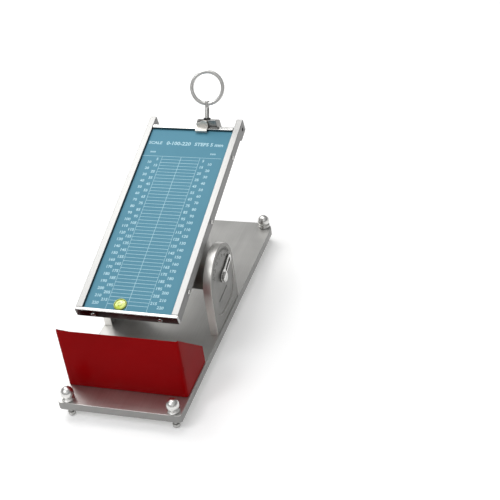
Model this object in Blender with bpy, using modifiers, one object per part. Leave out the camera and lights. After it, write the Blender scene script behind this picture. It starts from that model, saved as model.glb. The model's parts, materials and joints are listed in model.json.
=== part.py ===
"""Rolling-ball tack tester: a tilting board with a printed scale, carried on two
brackets over a heavy base plate, with a ball catcher in front of it.

Units are metres and +Z is up.  The origin is under the middle of the base, on the
surface that the four levelling feet stand on.  +X is the tester's right-hand side
and +Y runs from the ball catcher to the back.

The board's pieces are drawn in the board's own frame, an empty on the tilt axis:
X is across the board, Y runs up its slope and Z is square to its face.
"""
import math

import bmesh
import bpy
from mathutils import Matrix, Vector

MM = 0.001

# ---- fits --------------------------------------------------------------------------------
GAP = 0.3 * MM                  # between faces that rest on each other
HOLE_CLEARANCE = 0.25 * MM      # radial, round a screw or a shaft
ROUND_STEPS = 24                # segments round a plain shaft
FASTENER_STEPS = 10
KNOB_STEPS = 20
FOOT_STEPS = 14
RING_STEPS = 40
OVERSHOOT = 5 * MM              # how far a cutter runs past the face it cuts

# ---- base plate --------------------------------------------------------------------------
BASE_WIDTH = 146 * MM
BASE_LENGTH = 374 * MM
BASE_THICKNESS = 10 * MM
BASE_CLEAR_HEIGHT = 13 * MM     # underside above the bench
FRONT_CORNER_RADIUS = 4 * MM
REAR_CORNER_RADIUS = 14 * MM
BASE_CHAMFER = 0.8 * MM

# ---- levelling feet ----------------------------------------------------------------------
KNOB_INSET_X = 10.6 * MM
KNOB_INSET_Y = 7.9 * MM
KNOB_BALL_RADIUS = 7.5 * MM
KNOB_BALL_HEIGHT = 8.7 * MM     # ball centre above the base
KNOB_SKIRT_RADIUS = 7.3 * MM
KNOB_SKIRT_HEIGHT = 3.0 * MM
KNOB_NECK_RADIUS = 6.0 * MM
KNOB_NECK_HEIGHT = 0.5 * MM     # where the ball meets its neck, above the skirt
KNOB_CHAMFER = 0.4 * MM
STUD_RADIUS = 3.0 * MM
STUD_TIP_RADIUS = 1.9 * MM
STUD_TIP_LENGTH = 2.8 * MM
FOOT_RADIUS = 4.2 * MM
FOOT_HEIGHT = 5.4 * MM
FOOT_REST_RADIUS = 2.8 * MM     # flat that meets the bench
FOOT_CHAMFER = 0.5 * MM

# ---- ball catcher, one folded sheet ------------------------------------------------------
CATCHER_SETBACK = 30 * MM       # front face behind the base's front edge
CATCHER_SIDE_INSET = 1.6 * MM
CATCHER_HEIGHT = 77 * MM
CATCHER_WING_LENGTH = 60.5 * MM
CATCHER_WING_REAR_HEIGHT = 23 * MM
CATCHER_SHEET = 1.5 * MM
CATCHER_BEND_RADIUS = 3.0 * MM
CATCHER_FLANGE_DEPTH = 16 * MM
CATCHER_FLANGE_WIDTH = 110 * MM
CATCHER_SCREW_SPREAD = 80 * MM
CATCHER_SCREW_HEAD_RADIUS = 3.6 * MM
CATCHER_SCREW_HEAD_HEIGHT = 2.0 * MM
CATCHER_SCREW_LENGTH = 7 * MM

# ---- brackets and tilt axis --------------------------------------------------------------
PIVOT_Y = -9.5 * MM
PIVOT_HEIGHT = 56 * MM          # tilt axis above the base
BRACKET_THICKNESS = 10 * MM
BRACKET_INSET = 1.0 * MM        # outer face inside the base's edge
BRACKET_HEAD_RADIUS = 40 * MM
BRACKET_CHAMFER = 0.8 * MM
BRACKET_SCREW_SPREAD = 46 * MM
BRACKET_SCREW_HEAD_RADIUS = 4.8 * MM
BRACKET_SCREW_HEAD_HEIGHT = 4.0 * MM
BRACKET_SCREW_RECESS = 4.6 * MM
BRACKET_SCREW_SHANK_RADIUS = 2.5 * MM
BRACKET_SCREW_LENGTH = 16 * MM
DIAL_MARGIN = 4.5 * MM          # rim left round the dial pocket
DIAL_POCKET_DEPTH = 1.8 * MM
DIAL_POCKET_FLOOR = 14 * MM     # lowest point of the pocket above the base
DIAL_POCKET_CORNER = 26 * MM
DIAL_PLATE_THICKNESS = 0.8 * MM
SHAFT_RADIUS = 5.0 * MM
SHAFT_END_RADIUS = 3.0 * MM
BUSH_RADIUS = 8.0 * MM
BUSH_FLANGE_RADIUS = 13 * MM
BUSH_FLANGE_THICKNESS = 3.5 * MM
SPACER_RADIUS = 9.0 * MM
SIDE_PROUD = 5.0 * MM           # how far the knob and the pointer nut stand out
LOCK_KNOB_RADIUS = 13 * MM
LOCK_KNOB_GRIPS = 12
LOCK_GRIP_RADIUS = 1.6 * MM
LOCK_KNOB_CHAMFER = 0.8 * MM
POINTER_THICKNESS = 2.0 * MM
POINTER_LENGTH = 33 * MM
POINTER_HALF_WIDTH = 5.0 * MM
POINTER_SLOT_HALF_WIDTH = 2.4 * MM
POINTER_HUB_RADIUS = 6.5 * MM
POINTER_TAPER = 3 * MM          # length of the tip, and of the step behind the hub
POINTER_SLOT_CORNER = 1.2 * MM
POINTER_NUT_RADIUS = 6.0 * MM
POINTER_NUT_CHAMFER = 1.0 * MM
CAP_ROOF = 1.0 * MM             # closed end of the pointer nut and of the lock knob

# ---- board -------------------------------------------------------------------------------
REST_TILT = math.radians(17)
BOARD_WIDTH = 121 * MM
BOARD_FACE = 60 * MM            # top of the rails above the tilt axis
BOARD_LOW_END = -102.3 * MM     # front of the bottom bar, along the slope
BOARD_HIGH_END = 194.5 * MM     # end of the rails
RAIL_WIDTH = 7.9 * MM
RAIL_DEPTH = 13.5 * MM
RAIL_END_DEPTH = 17.9 * MM
RAIL_END_LENGTH = 24 * MM
RAIL_END_RAMP = 5 * MM          # slope from the rail's underside down to its end
RAIL_END_RADIUS = 1.5 * MM
RAIL_CHAMFER = 0.5 * MM
BOTTOM_BAR_THICKNESS = 4.0 * MM
BOTTOM_BAR_DEPTH = 11.6 * MM
TOP_BAR_REAR = 180.5 * MM
TOP_BAR_THICKNESS = 5.0 * MM
SCALE_RECESS = 3.0 * MM
SCALE_THICKNESS = 1.5 * MM
BACKING_THICKNESS = 4.0 * MM
LUG_THICKNESS = 7.5 * MM
LUG_TOP_HALF_LENGTH = 50 * MM
LUG_FOOT_RADIUS = 12 * MM
LUG_EDGE_HEIGHT = 7 * MM
LUG_CORNER_RADIUS = 3 * MM
LUG_SCREW_SPREAD = 50 * MM
LUG_SCREW_LENGTH = 14 * MM
LUG_SCREW_HEAD_HEIGHT = 1.6 * MM
SCREW_HEAD_RADIUS = 2.7 * MM
SCREW_HEAD_HEIGHT = 1.3 * MM
SCREW_SHANK_RADIUS = 1.4 * MM
SIDE_SCREW_LENGTH = 16 * MM
SIDE_SCREW_FIRST = -62 * MM
SIDE_SCREW_PITCH = 99.5 * MM
SIDE_SCREW_COUNT = 3
BAR_SCREW_SPREAD = 79 * MM
BAR_SCREW_HEIGHT = 54.2 * MM
BAR_SCREW_LENGTH = 14 * MM
RAIL_END_SCREW_INSET = 8.1 * MM
RAIL_END_SCREW_DEPTH = 9.2 * MM
RAIL_END_SCREW_RADIUS = 2.4 * MM
RAIL_END_SCREW_LENGTH = 4.5 * MM
RAIL_END_SCREW_SINK = 1.8 * MM
HEX_SOCKET_RADIUS = 1.2 * MM
HEX_SOCKET_DEPTH = 2.0 * MM

# ---- level -------------------------------------------------------------------------------
LEVEL_X = -10.5 * MM
LEVEL_Y = -89.3 * MM
LEVEL_RADIUS = 7.5 * MM
LEVEL_WALL = 1.3 * MM
LEVEL_PROUD = 1.8 * MM
LEVEL_BOTTOM = 52.3 * MM
LEVEL_CHAMFER = 0.4 * MM
VIAL_DOME = 0.3 * MM            # rise of the vial's lid, and drop of its edge

# ---- ring-screw clamp --------------------------------------------------------------------
CLAMP_X = 18 * MM
CLAMP_LEAN = math.radians(42)   # screw leans from square towards the high end
SCREW_EXIT_Y = 186 * MM         # where the screw's axis meets the block's top face
SCREW_EXIT_Z = 66 * MM
BLOCK_WIDTH = 26 * MM
BLOCK_DEPTH = 12 * MM
BLOCK_BOTTOM = 47.2 * MM
BLOCK_SCREW_SPREAD = 18 * MM
BLOCK_SCREW_RISE = 4.5 * MM
BLOCK_SCREW_SHORT = 2 * MM      # the screws stop this far inside the top bar
BLOCK_SHOULDER_WIDTH = 10.5 * MM
BLOCK_SHOULDER_DROP = 6.0 * MM
JAW_WIDTH = 15 * MM
JAW_ARM_WIDTH = 9 * MM
JAW_REACH = 9.5 * MM            # tongue's tip in front of the top bar's back face
JAW_STRIP = 1.2 * MM
JAW_LIP_DROP = 1.5 * MM         # tip of the tongue below the rails' top
JAW_TOP = 70.2 * MM
JAW_SWING_ROOM = 1.9 * MM
JAW_PIVOT_SETBACK = 6.9 * MM    # pivot behind the top bar's back face
JAW_PIVOT_Z = 59.2 * MM
JAW_CLEARANCE = 0.4 * MM        # over the top bar, and each side of the arm in its slot
JAW_SLOT_ROOM = 1.2 * MM        # round the arm's end, for its swing
JAW_ARM_HALF = 1.6 * MM
JAW_ARM_END = 2.2 * MM          # arm behind its pivot
JAW_ARM_FRONT = 0.5 * MM        # arm's upright part behind the top bar's back face
JAW_FACET_FRONT = 0.8 * MM      # start of the facet that meets the pad
JAW_PIN_RADIUS = 0.8 * MM
JAW_PIN_CLEARANCE = 0.2 * MM
JAW_PIN_SHORT = 4 * MM          # pin's ends inside the block's sides
PIN_STEPS = 14
PAD_RADIUS = 2.5 * MM
PAD_LENGTH = 2.7 * MM
PAD_DEPTH = 4.5 * MM            # contact facet below the block's top face
RING_SCREW_RADIUS = 2.75 * MM
SCREW_BUSH_RADIUS = 4.4 * MM
SCREW_BUSH_HEIGHT = 1.8 * MM
RING_OUTER_RADIUS = 21.5 * MM
RING_WALL = 4.2 * MM
RING_DEPTH = 4.8 * MM
RING_CORNER = 1.3 * MM
RING_CENTRE_ABOVE_BLOCK = 38.4 * MM
RING_YAW = math.radians(6)
SHANK_INSIDE_RING = 1.6 * MM
SHANK_CHAMFER = 0.5 * MM
SHANK_FIT = 0.15 * MM           # radial, where the shank enters the ring

# ---- places worked out from the sizes above ----------------------------------------------
BASE_TOP = BASE_CLEAR_HEIGHT + BASE_THICKNESS
PIVOT_Z = BASE_TOP + PIVOT_HEIGHT
BRACKET_OUTER_X = BASE_WIDTH / 2 - BRACKET_INSET
BRACKET_INNER_X = BRACKET_OUTER_X - BRACKET_THICKNESS
BUSH_FLANGE_X = BRACKET_INNER_X - GAP - BUSH_FLANGE_THICKNESS
RAIL_LOW_END = BOARD_LOW_END + BOTTOM_BAR_THICKNESS + GAP
SCALE_TOP = BOARD_FACE - SCALE_RECESS
SCALE_BOTTOM = SCALE_TOP - SCALE_THICKNESS
BACKING_TOP = SCALE_BOTTOM - GAP
BACKING_BOTTOM = BACKING_TOP - BACKING_THICKNESS
LUG_OUTER_FACE = BOARD_WIDTH / 2 - RAIL_WIDTH - 2 * GAP
INNER_WIDTH = BOARD_WIDTH - 2 * RAIL_WIDTH - 2 * GAP
TOP_BAR_FRONT = TOP_BAR_REAR - TOP_BAR_THICKNESS
BLOCK_FRONT = TOP_BAR_REAR + GAP
BLOCK_LEFT = CLAMP_X - BLOCK_WIDTH / 2
JAW_CENTRE_X = BLOCK_LEFT + JAW_WIDTH / 2
JAW_PIVOT_Y = TOP_BAR_REAR + JAW_PIVOT_SETBACK

FLAT_SIDEWAYS = (math.pi / 2, 0, math.pi / 2)   # outline X, Y -> along Y, Z
ACROSS = (0, math.pi / 2, 0)                    # local Z -> +X


# ---- helpers -----------------------------------------------------------------------------
def clear_scene():
    for item in list(bpy.data.objects):
        bpy.data.objects.remove(item, do_unlink=True)


def new_collection(name):
    collection = bpy.data.collections.new(name)
    bpy.context.scene.collection.children.link(collection)
    return collection


def material(name, colour, metallic, roughness, alpha=1.0):
    made = bpy.data.materials.new(name)
    made.use_nodes = True
    shader = made.node_tree.nodes["Principled BSDF"]
    shader.inputs["Base Color"].default_value = (*colour, 1.0)
    shader.inputs["Metallic"].default_value = metallic
    shader.inputs["Roughness"].default_value = roughness
    shader.inputs["Alpha"].default_value = alpha
    return made


def add(name, mesh, finish=None, parent=None, location=(0, 0, 0), rotation=(0, 0, 0)):
    """Put a mesh in the scene: a piece when it has a finish, otherwise a cutter."""
    piece = bpy.data.objects.new(name, mesh)
    piece.location = location
    piece.rotation_euler = rotation
    piece.parent = parent
    if finish is None:
        CUTTERS.objects.link(piece)
        piece.hide_render = True
        piece.display_type = "WIRE"
    else:
        PIECES.objects.link(piece)
        mesh.materials.append(finish)
    return piece


def empty(name, parent=None, location=(0, 0, 0), rotation=(0, 0, 0)):
    point = bpy.data.objects.new(name, None)
    PIECES.objects.link(point)
    point.parent = parent
    point.location = location
    point.rotation_euler = rotation
    return point


def mesh_of(name, build):
    """A mesh made by a function that fills a bmesh."""
    shape = bmesh.new()
    build(shape)
    mesh = bpy.data.meshes.new(name)
    shape.to_mesh(mesh)
    shape.free()
    return mesh


def box_mesh(name, size):
    stretch = Matrix.Diagonal((*size, 1.0))
    return mesh_of(name, lambda shape: bmesh.ops.create_cube(shape, size=1, matrix=stretch))


def rod_mesh(name, radius, length, steps=ROUND_STEPS):
    """A cylinder from z = 0 up to z = length."""
    lift = Matrix.Translation((0, 0, length / 2))
    mesh = mesh_of(name, lambda shape: bmesh.ops.create_cone(
        shape, cap_ends=True, segments=steps, radius1=radius, radius2=radius,
        depth=length, matrix=lift))
    mesh.shade_smooth()
    mesh.set_sharp_from_angle(angle=math.radians(35))
    return mesh


def rounded(corners, step=math.radians(10)):
    """Outline through (x, y, radius) corners, each turned into an arc of its radius."""
    points = []
    count = len(corners)
    for index, (x, y, radius) in enumerate(corners):
        here = Vector((x, y))
        before = (Vector(corners[index - 1][:2]) - here).normalized()
        after = (Vector(corners[(index + 1) % count][:2]) - here).normalized()
        if radius == 0:
            points.append(here)
            continue
        half = before.angle(after) / 2
        centre = here + (before + after).normalized() * (radius / math.sin(half))
        start = here + before * (radius / math.tan(half)) - centre
        sweep = math.pi - 2 * half
        if before.cross(after) > 0:
            sweep = -sweep
        pieces = max(1, round(abs(sweep) / step))
        for place in range(pieces + 1):
            turn = Matrix.Rotation(sweep * place / pieces, 2)
            points.append(centre + turn @ start)
    return [p for i, p in enumerate(points) if (p - points[i - 1]).length > 1e-6]


def plate_mesh(name, outline, thickness):
    """A flat outline made solid, half its thickness on each side of its plane."""
    curve = bpy.data.curves.new(name, "CURVE")
    curve.dimensions = "2D"
    curve.fill_mode = "BOTH"
    curve.extrude = thickness / 2
    spline = curve.splines.new("POLY")
    spline.points.add(len(outline) - 1)
    for point, place in zip(spline.points, outline):
        point.co = (place[0], place[1], 0, 1)
    spline.use_cyclic_u = True
    holder = bpy.data.objects.new(name, curve)
    PIECES.objects.link(holder)
    bpy.context.view_layer.update()
    evaluated = holder.evaluated_get(bpy.context.evaluated_depsgraph_get())
    mesh = bpy.data.meshes.new_from_object(evaluated)
    bpy.data.objects.remove(holder, do_unlink=True)
    shape = bmesh.new()
    shape.from_mesh(mesh)
    bmesh.ops.remove_doubles(shape, verts=shape.verts, dist=1e-6)
    bmesh.ops.recalc_face_normals(shape, faces=shape.faces)
    bmesh.ops.dissolve_limit(shape, angle_limit=1e-3, verts=shape.verts, edges=shape.edges)
    shape.to_mesh(mesh)
    shape.free()
    mesh.name = name
    return mesh


def turned_mesh(name, profile, closed=False):
    """The (radius, height) line that a Screw modifier turns about Z."""
    edges = [(i, i + 1) for i in range(len(profile) - 1)]
    if closed:
        edges.append((len(profile) - 1, 0))
    mesh = bpy.data.meshes.new(name)
    mesh.from_pydata([(radius, 0, height) for radius, height in profile], edges, [])
    return mesh


def spin(piece, steps=ROUND_STEPS):
    screw = piece.modifiers.new("Screw", "SCREW")
    screw.steps = steps
    screw.render_steps = steps
    screw.use_merge_vertices = True
    screw.merge_threshold = 1e-5
    screw.use_smooth_shade = True
    return piece


def chamfer(piece, width, segments=1):
    bevel = piece.modifiers.new("Bevel", "BEVEL")
    bevel.width = width
    bevel.segments = segments
    bevel.limit_method = "ANGLE"
    bevel.angle_limit = math.radians(40)
    return piece


def boolean(piece, other, operation):
    step = piece.modifiers.new(operation.title(), "BOOLEAN")
    step.operation = operation
    step.object = other
    step.solver = "EXACT"


def cut(piece, *cutters):
    for cutter in cutters:
        boolean(piece, cutter, "DIFFERENCE")


def join(piece, *others):
    for other in others:
        boolean(piece, other, "UNION")


def hole(name, radius, start, length, parent=None, rotation=(0, 0, 0), steps=ROUND_STEPS):
    return add(name, rod_mesh(name, radius, length, steps), None, parent, start, rotation)


def arc(radius, centre, first, last, pieces):
    """Points of an arc, from one angle in degrees to another."""
    turns = [math.radians(first + (last - first) * i / pieces) for i in range(pieces + 1)]
    return [(centre[0] + radius * math.cos(t), centre[1] + radius * math.sin(t)) for t in turns]


def screw_profile(head_radius, head_height, shank_radius, length):
    """Button-head screw, head up: the underside of the head is at z = 0."""
    crown = head_height * 0.45
    return [(0, head_height), (head_radius * 0.62, head_height), (head_radius, crown),
            (head_radius, 0), (shank_radius, 0), (shank_radius, -length), (0, -length)]


def fastener(name, place, rotation, parent, finish, head_radius, head_height, shank_radius,
             length):
    """A button-head screw whose head's underside is at its place."""
    profile = screw_profile(head_radius, head_height, shank_radius, length)
    spin(add(name, turned_mesh(name, profile), finish, parent, place, rotation), FASTENER_STEPS)


# ---- scene -------------------------------------------------------------------------------
SIDES = (("left", -1), ("right", 1))
ENDS = (("front", -1), ("rear", 1))
clear_scene()
PIECES = new_collection("tack_tester")
CUTTERS = new_collection("cutters")

ALUMINIUM = material("satin_aluminium", (0.42, 0.42, 0.40), 1.0, 0.42)
PALE_ALUMINIUM = material("pale_anodised_aluminium", (0.75, 0.75, 0.74), 1.0, 0.38)
RED_SHEET = material("red_gloss_sheet", (0.30, 0.003, 0.005), 0.0, 0.12)
BLUE_PRINT = material("blue_printed_plate", (0.10, 0.30, 0.40), 0.0, 0.45)
DIAL_METAL = material("engraved_dial", (0.28, 0.28, 0.27), 1.0, 0.45)
STEEL = material("polished_steel", (0.62, 0.61, 0.58), 1.0, 0.16)
DARK_STEEL = material("blackened_steel", (0.05, 0.05, 0.05), 1.0, 0.45)
BRONZE = material("bush_bronze", (0.50, 0.33, 0.16), 1.0, 0.4)
LEVEL_CUP = material("level_cup", (0.55, 0.60, 0.12), 0.0, 0.35)
LEVEL_FLUID = material("level_fluid", (0.62, 0.72, 0.10), 0.0, 0.08, alpha=0.6)


# ---- base plate --------------------------------------------------------------------------
half_width = BASE_WIDTH / 2
half_length = BASE_LENGTH / 2
base_outline = rounded([
    (-half_width, -half_length, FRONT_CORNER_RADIUS),
    (half_width, -half_length, FRONT_CORNER_RADIUS),
    (half_width, half_length, REAR_CORNER_RADIUS),
    (-half_width, half_length, REAR_CORNER_RADIUS),
], step=math.radians(15))
base_plate = add("base_plate", plate_mesh("base_plate", base_outline, BASE_THICKNESS),
                 ALUMINIUM, None, (0, 0, BASE_TOP - BASE_THICKNESS / 2))
chamfer(base_plate, BASE_CHAMFER)


# ---- levelling feet ----------------------------------------------------------------------
knob_x = half_width - KNOB_INSET_X
knob_y = half_length - KNOB_INSET_Y
ball_centre = KNOB_BALL_HEIGHT - GAP
ball_foot = math.degrees(math.asin(
    (KNOB_SKIRT_HEIGHT + KNOB_NECK_HEIGHT - ball_centre) / KNOB_BALL_RADIUS))
stud_drop = BASE_TOP + GAP - FOOT_HEIGHT - GAP
foot_socket_floor = FOOT_HEIGHT - STUD_TIP_LENGTH - GAP
knob_profile = arc(KNOB_BALL_RADIUS, (0, ball_centre), 90, ball_foot, 8) + [
    (KNOB_NECK_RADIUS, KNOB_SKIRT_HEIGHT + KNOB_NECK_HEIGHT / 2),
    (KNOB_SKIRT_RADIUS - KNOB_CHAMFER, KNOB_SKIRT_HEIGHT),
    (KNOB_SKIRT_RADIUS, KNOB_SKIRT_HEIGHT - KNOB_CHAMFER),
    (KNOB_SKIRT_RADIUS, 0),
    (STUD_RADIUS, 0),
    (STUD_RADIUS, -stud_drop),
    (STUD_TIP_RADIUS, -stud_drop),
    (STUD_TIP_RADIUS, -stud_drop - STUD_TIP_LENGTH),
    (0, -stud_drop - STUD_TIP_LENGTH),
]
foot_profile = [
    (0, foot_socket_floor),
    (STUD_TIP_RADIUS + HOLE_CLEARANCE, foot_socket_floor),
    (STUD_TIP_RADIUS + HOLE_CLEARANCE, FOOT_HEIGHT),
    (FOOT_RADIUS - FOOT_CHAMFER, FOOT_HEIGHT),
    (FOOT_RADIUS, FOOT_HEIGHT - FOOT_CHAMFER),
    (FOOT_RADIUS, FOOT_RADIUS - FOOT_REST_RADIUS),
    (FOOT_REST_RADIUS, 0),
    (0, 0),
]
for corner, side, end in [(e[0] + "_" + s[0], s[1], e[1]) for e in ENDS for s in SIDES]:
    axis = empty("levelling_axis_" + corner, None, (side * knob_x, end * knob_y, 0))
    knob_name = "levelling_knob_" + corner
    foot_name = "levelling_foot_" + corner
    knob = add(knob_name, turned_mesh(knob_name, knob_profile), STEEL, axis, (0, 0, BASE_TOP + GAP))
    spin(knob, KNOB_STEPS)
    foot = add(foot_name, turned_mesh(foot_name, foot_profile), STEEL, axis)
    spin(foot, FOOT_STEPS)
    cut(base_plate, hole("stud_hole_" + corner, STUD_RADIUS + HOLE_CLEARANCE,
                         (0, 0, BASE_CLEAR_HEIGHT - OVERSHOOT),
                         BASE_THICKNESS + 2 * OVERSHOOT, axis, steps=FOOT_STEPS))


# ---- ball catcher ------------------------------------------------------------------------
catcher_half = half_width - CATCHER_SIDE_INSET
catcher_front = -half_length + CATCHER_SETBACK
catcher_rear = catcher_front + CATCHER_WING_LENGTH
inner_half = catcher_half - CATCHER_SHEET
inner_bend = CATCHER_BEND_RADIUS - CATCHER_SHEET
catcher_bottom = BASE_TOP + GAP
catcher_outline = rounded([
    (-catcher_half, catcher_rear, 0),
    (-catcher_half, catcher_front, CATCHER_BEND_RADIUS),
    (catcher_half, catcher_front, CATCHER_BEND_RADIUS),
    (catcher_half, catcher_rear, 0),
    (inner_half, catcher_rear, 0),
    (inner_half, catcher_front + CATCHER_SHEET, inner_bend),
    (-inner_half, catcher_front + CATCHER_SHEET, inner_bend),
    (-inner_half, catcher_rear, 0),
], step=math.radians(22.5))
catcher = add("ball_catcher", plate_mesh("ball_catcher", catcher_outline, CATCHER_HEIGHT),
              RED_SHEET, None, (0, 0, catcher_bottom + CATCHER_HEIGHT / 2))
slope_start = catcher_front + CATCHER_BEND_RADIUS
slope_drop = CATCHER_HEIGHT - CATCHER_WING_REAR_HEIGHT
slope_run = catcher_rear - slope_start
slope_past = slope_drop / slope_run * OVERSHOOT
catcher_slope = [
    (slope_start, CATCHER_HEIGHT),
    (catcher_rear + OVERSHOOT, CATCHER_WING_REAR_HEIGHT - slope_past),
    (catcher_rear + OVERSHOOT, CATCHER_HEIGHT + OVERSHOOT),
    (slope_start, CATCHER_HEIGHT + OVERSHOOT),
]
cut(catcher, add("wing_slope", plate_mesh("wing_slope", catcher_slope, BASE_WIDTH + OVERSHOOT),
                 None, None, (0, 0, catcher_bottom), FLAT_SIDEWAYS))
flange_depth = CATCHER_FLANGE_DEPTH - CATCHER_SHEET / 2
flange = add("catcher_flange",
             box_mesh("catcher_flange", (CATCHER_FLANGE_WIDTH, flange_depth, CATCHER_SHEET)),
             None, None, (0, catcher_front + CATCHER_FLANGE_DEPTH / 2 + CATCHER_SHEET / 4,
                          catcher_bottom + CATCHER_SHEET / 2))
join(catcher, flange)
catcher_screw_y = catcher_front + CATCHER_FLANGE_DEPTH / 2 + CATCHER_SHEET
for name, side in SIDES:
    place = (side * CATCHER_SCREW_SPREAD / 2, catcher_screw_y,
             catcher_bottom + CATCHER_SHEET + GAP)
    drill = hole("catcher_screw_hole_" + name, SCREW_SHANK_RADIUS + HOLE_CLEARANCE,
                 (place[0], place[1], place[2] - CATCHER_SCREW_LENGTH - GAP),
                 CATCHER_SCREW_LENGTH + OVERSHOOT, steps=FASTENER_STEPS)
    cut(catcher, drill)
    cut(base_plate, drill)
    fastener("catcher_screw_" + name, place, (0, 0, 0), None, STEEL, CATCHER_SCREW_HEAD_RADIUS,
             CATCHER_SCREW_HEAD_HEIGHT, SCREW_SHANK_RADIUS, CATCHER_SCREW_LENGTH)


# ---- brackets, bushes and dial -----------------------------------------------------------
bracket_foot = BASE_TOP + GAP - PIVOT_Z
bracket_outline = rounded([
    (-BRACKET_HEAD_RADIUS, bracket_foot, 0),
    (BRACKET_HEAD_RADIUS, bracket_foot, 0),
    (BRACKET_HEAD_RADIUS, BRACKET_HEAD_RADIUS, BRACKET_HEAD_RADIUS),
    (-BRACKET_HEAD_RADIUS, BRACKET_HEAD_RADIUS, BRACKET_HEAD_RADIUS),
], step=math.radians(7.5))
dial_radius = BRACKET_HEAD_RADIUS - DIAL_MARGIN
dial_low = DIAL_POCKET_FLOOR - PIVOT_HEIGHT


def dial_outline(shrink):
    reach = dial_radius - shrink
    corner = min(DIAL_POCKET_CORNER, dial_radius) - shrink
    return rounded([
        (-reach, dial_low + shrink, corner),
        (reach, dial_low + shrink, corner),
        (reach, reach, reach),
        (-reach, reach, reach),
    ], step=math.radians(9))


pivot = empty("tilt_axis", None, (0, PIVOT_Y, PIVOT_Z))
bracket_middle = (BRACKET_OUTER_X + BRACKET_INNER_X) / 2
brackets = {}
for name, side in SIDES:
    bracket_name = "bracket_" + name
    bracket = add(bracket_name, plate_mesh(bracket_name, bracket_outline, BRACKET_THICKNESS),
                  ALUMINIUM, pivot, (side * bracket_middle, 0, 0), FLAT_SIDEWAYS)
    chamfer(bracket, BRACKET_CHAMFER)
    brackets[name] = bracket
    cut(bracket, hole("bush_hole_" + name, BUSH_RADIUS + HOLE_CLEARANCE,
                      (side * bracket_middle - BRACKET_THICKNESS, 0, 0),
                      2 * BRACKET_THICKNESS, pivot, ACROSS))
    for end_name, end in ENDS:
        tag = "%s_%s" % (end_name, name)
        place = (side * bracket_middle, PIVOT_Y + end * BRACKET_SCREW_SPREAD / 2,
                 BASE_CLEAR_HEIGHT + BRACKET_SCREW_RECESS)
        recess_radius = BRACKET_SCREW_HEAD_RADIUS + HOLE_CLEARANCE
        drill = hole("bracket_screw_hole_" + tag, BRACKET_SCREW_SHANK_RADIUS + HOLE_CLEARANCE,
                     place, BRACKET_SCREW_LENGTH + GAP, steps=FASTENER_STEPS)
        recess = hole("bracket_screw_recess_" + tag, recess_radius,
                      (place[0], place[1], BASE_CLEAR_HEIGHT - OVERSHOOT),
                      OVERSHOOT + BRACKET_SCREW_RECESS + GAP)
        cut(base_plate, drill, recess)
        cut(bracket, drill)
        fastener("bracket_screw_" + tag, place, (math.pi, 0, 0), None, DARK_STEEL,
                 BRACKET_SCREW_HEAD_RADIUS, BRACKET_SCREW_HEAD_HEIGHT,
                 BRACKET_SCREW_SHANK_RADIUS, BRACKET_SCREW_LENGTH)

pocket_floor_x = BRACKET_OUTER_X - DIAL_POCKET_DEPTH
dial_cutter_depth = DIAL_POCKET_DEPTH + OVERSHOOT
cut(brackets["right"], add("dial_pocket",
                           plate_mesh("dial_pocket", dial_outline(0), dial_cutter_depth),
                           None, pivot, (pocket_floor_x + dial_cutter_depth / 2, 0, 0),
                           FLAT_SIDEWAYS))
dial_plate_x = pocket_floor_x + GAP + DIAL_PLATE_THICKNESS / 2
angle_scale = add("angle_scale",
                  plate_mesh("angle_scale", dial_outline(GAP), DIAL_PLATE_THICKNESS),
                  DIAL_METAL, pivot, (dial_plate_x, 0, 0), FLAT_SIDEWAYS)
cut(angle_scale, hole("dial_shaft_hole", SHAFT_RADIUS + HOLE_CLEARANCE,
                      (pocket_floor_x - OVERSHOOT, 0, 0), 2 * OVERSHOOT + DIAL_POCKET_DEPTH,
                      pivot, ACROSS))

bush_length = BRACKET_THICKNESS - DIAL_POCKET_DEPTH - GAP
bush_bore = SHAFT_RADIUS + HOLE_CLEARANCE
bush_profile = [
    (bush_bore, 0),
    (bush_bore, BUSH_FLANGE_THICKNESS + GAP + bush_length),
    (BUSH_RADIUS, BUSH_FLANGE_THICKNESS + GAP + bush_length),
    (BUSH_RADIUS, BUSH_FLANGE_THICKNESS),
    (BUSH_FLANGE_RADIUS, BUSH_FLANGE_THICKNESS),
    (BUSH_FLANGE_RADIUS, 0),
]
for name, side in SIDES:
    bush_name = "pivot_bush_" + name
    spin(add(bush_name, turned_mesh(bush_name, bush_profile, closed=True), BRONZE, pivot,
             (side * BUSH_FLANGE_X, 0, 0), (0, side * math.pi / 2, 0)))


# ---- tilting board: axis, shaft, spacers, pointer and lock knob --------------------------
board = empty("board_frame", pivot, (0, 0, 0), (REST_TILT, 0, 0))
side_limit = BRACKET_OUTER_X + SIDE_PROUD
pointer_inner_x = dial_plate_x + DIAL_PLATE_THICKNESS / 2 + GAP
pointer_outer_x = pointer_inner_x + POINTER_THICKNESS
nut_inner_x = pointer_outer_x + GAP
shaft_left_x = -side_limit + CAP_ROOF
shaft_step_x = pointer_inner_x - GAP
shaft_right_x = side_limit - CAP_ROOF - GAP
shaft_profile = [
    (0, shaft_right_x - shaft_left_x),
    (SHAFT_END_RADIUS, shaft_right_x - shaft_left_x),
    (SHAFT_END_RADIUS, shaft_step_x - shaft_left_x),
    (SHAFT_RADIUS, shaft_step_x - shaft_left_x),
    (SHAFT_RADIUS, 0),
    (0, 0),
]
spin(add("pivot_shaft", turned_mesh("pivot_shaft", shaft_profile), STEEL, board,
         (shaft_left_x, 0, 0), ACROSS))

spacer_bore = SHAFT_RADIUS + HOLE_CLEARANCE
spacer_length = BUSH_FLANGE_X - LUG_OUTER_FACE - 2 * GAP
spacer_profile = [
    (spacer_bore, 0),
    (spacer_bore, spacer_length),
    (SPACER_RADIUS, spacer_length),
    (SPACER_RADIUS, 0),
]
for name, side in SIDES:
    spacer_name = "shaft_spacer_" + name
    spin(add(spacer_name, turned_mesh(spacer_name, spacer_profile, closed=True), STEEL, board,
             (side * (LUG_OUTER_FACE + GAP), 0, 0), (0, side * math.pi / 2, 0)))

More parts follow.
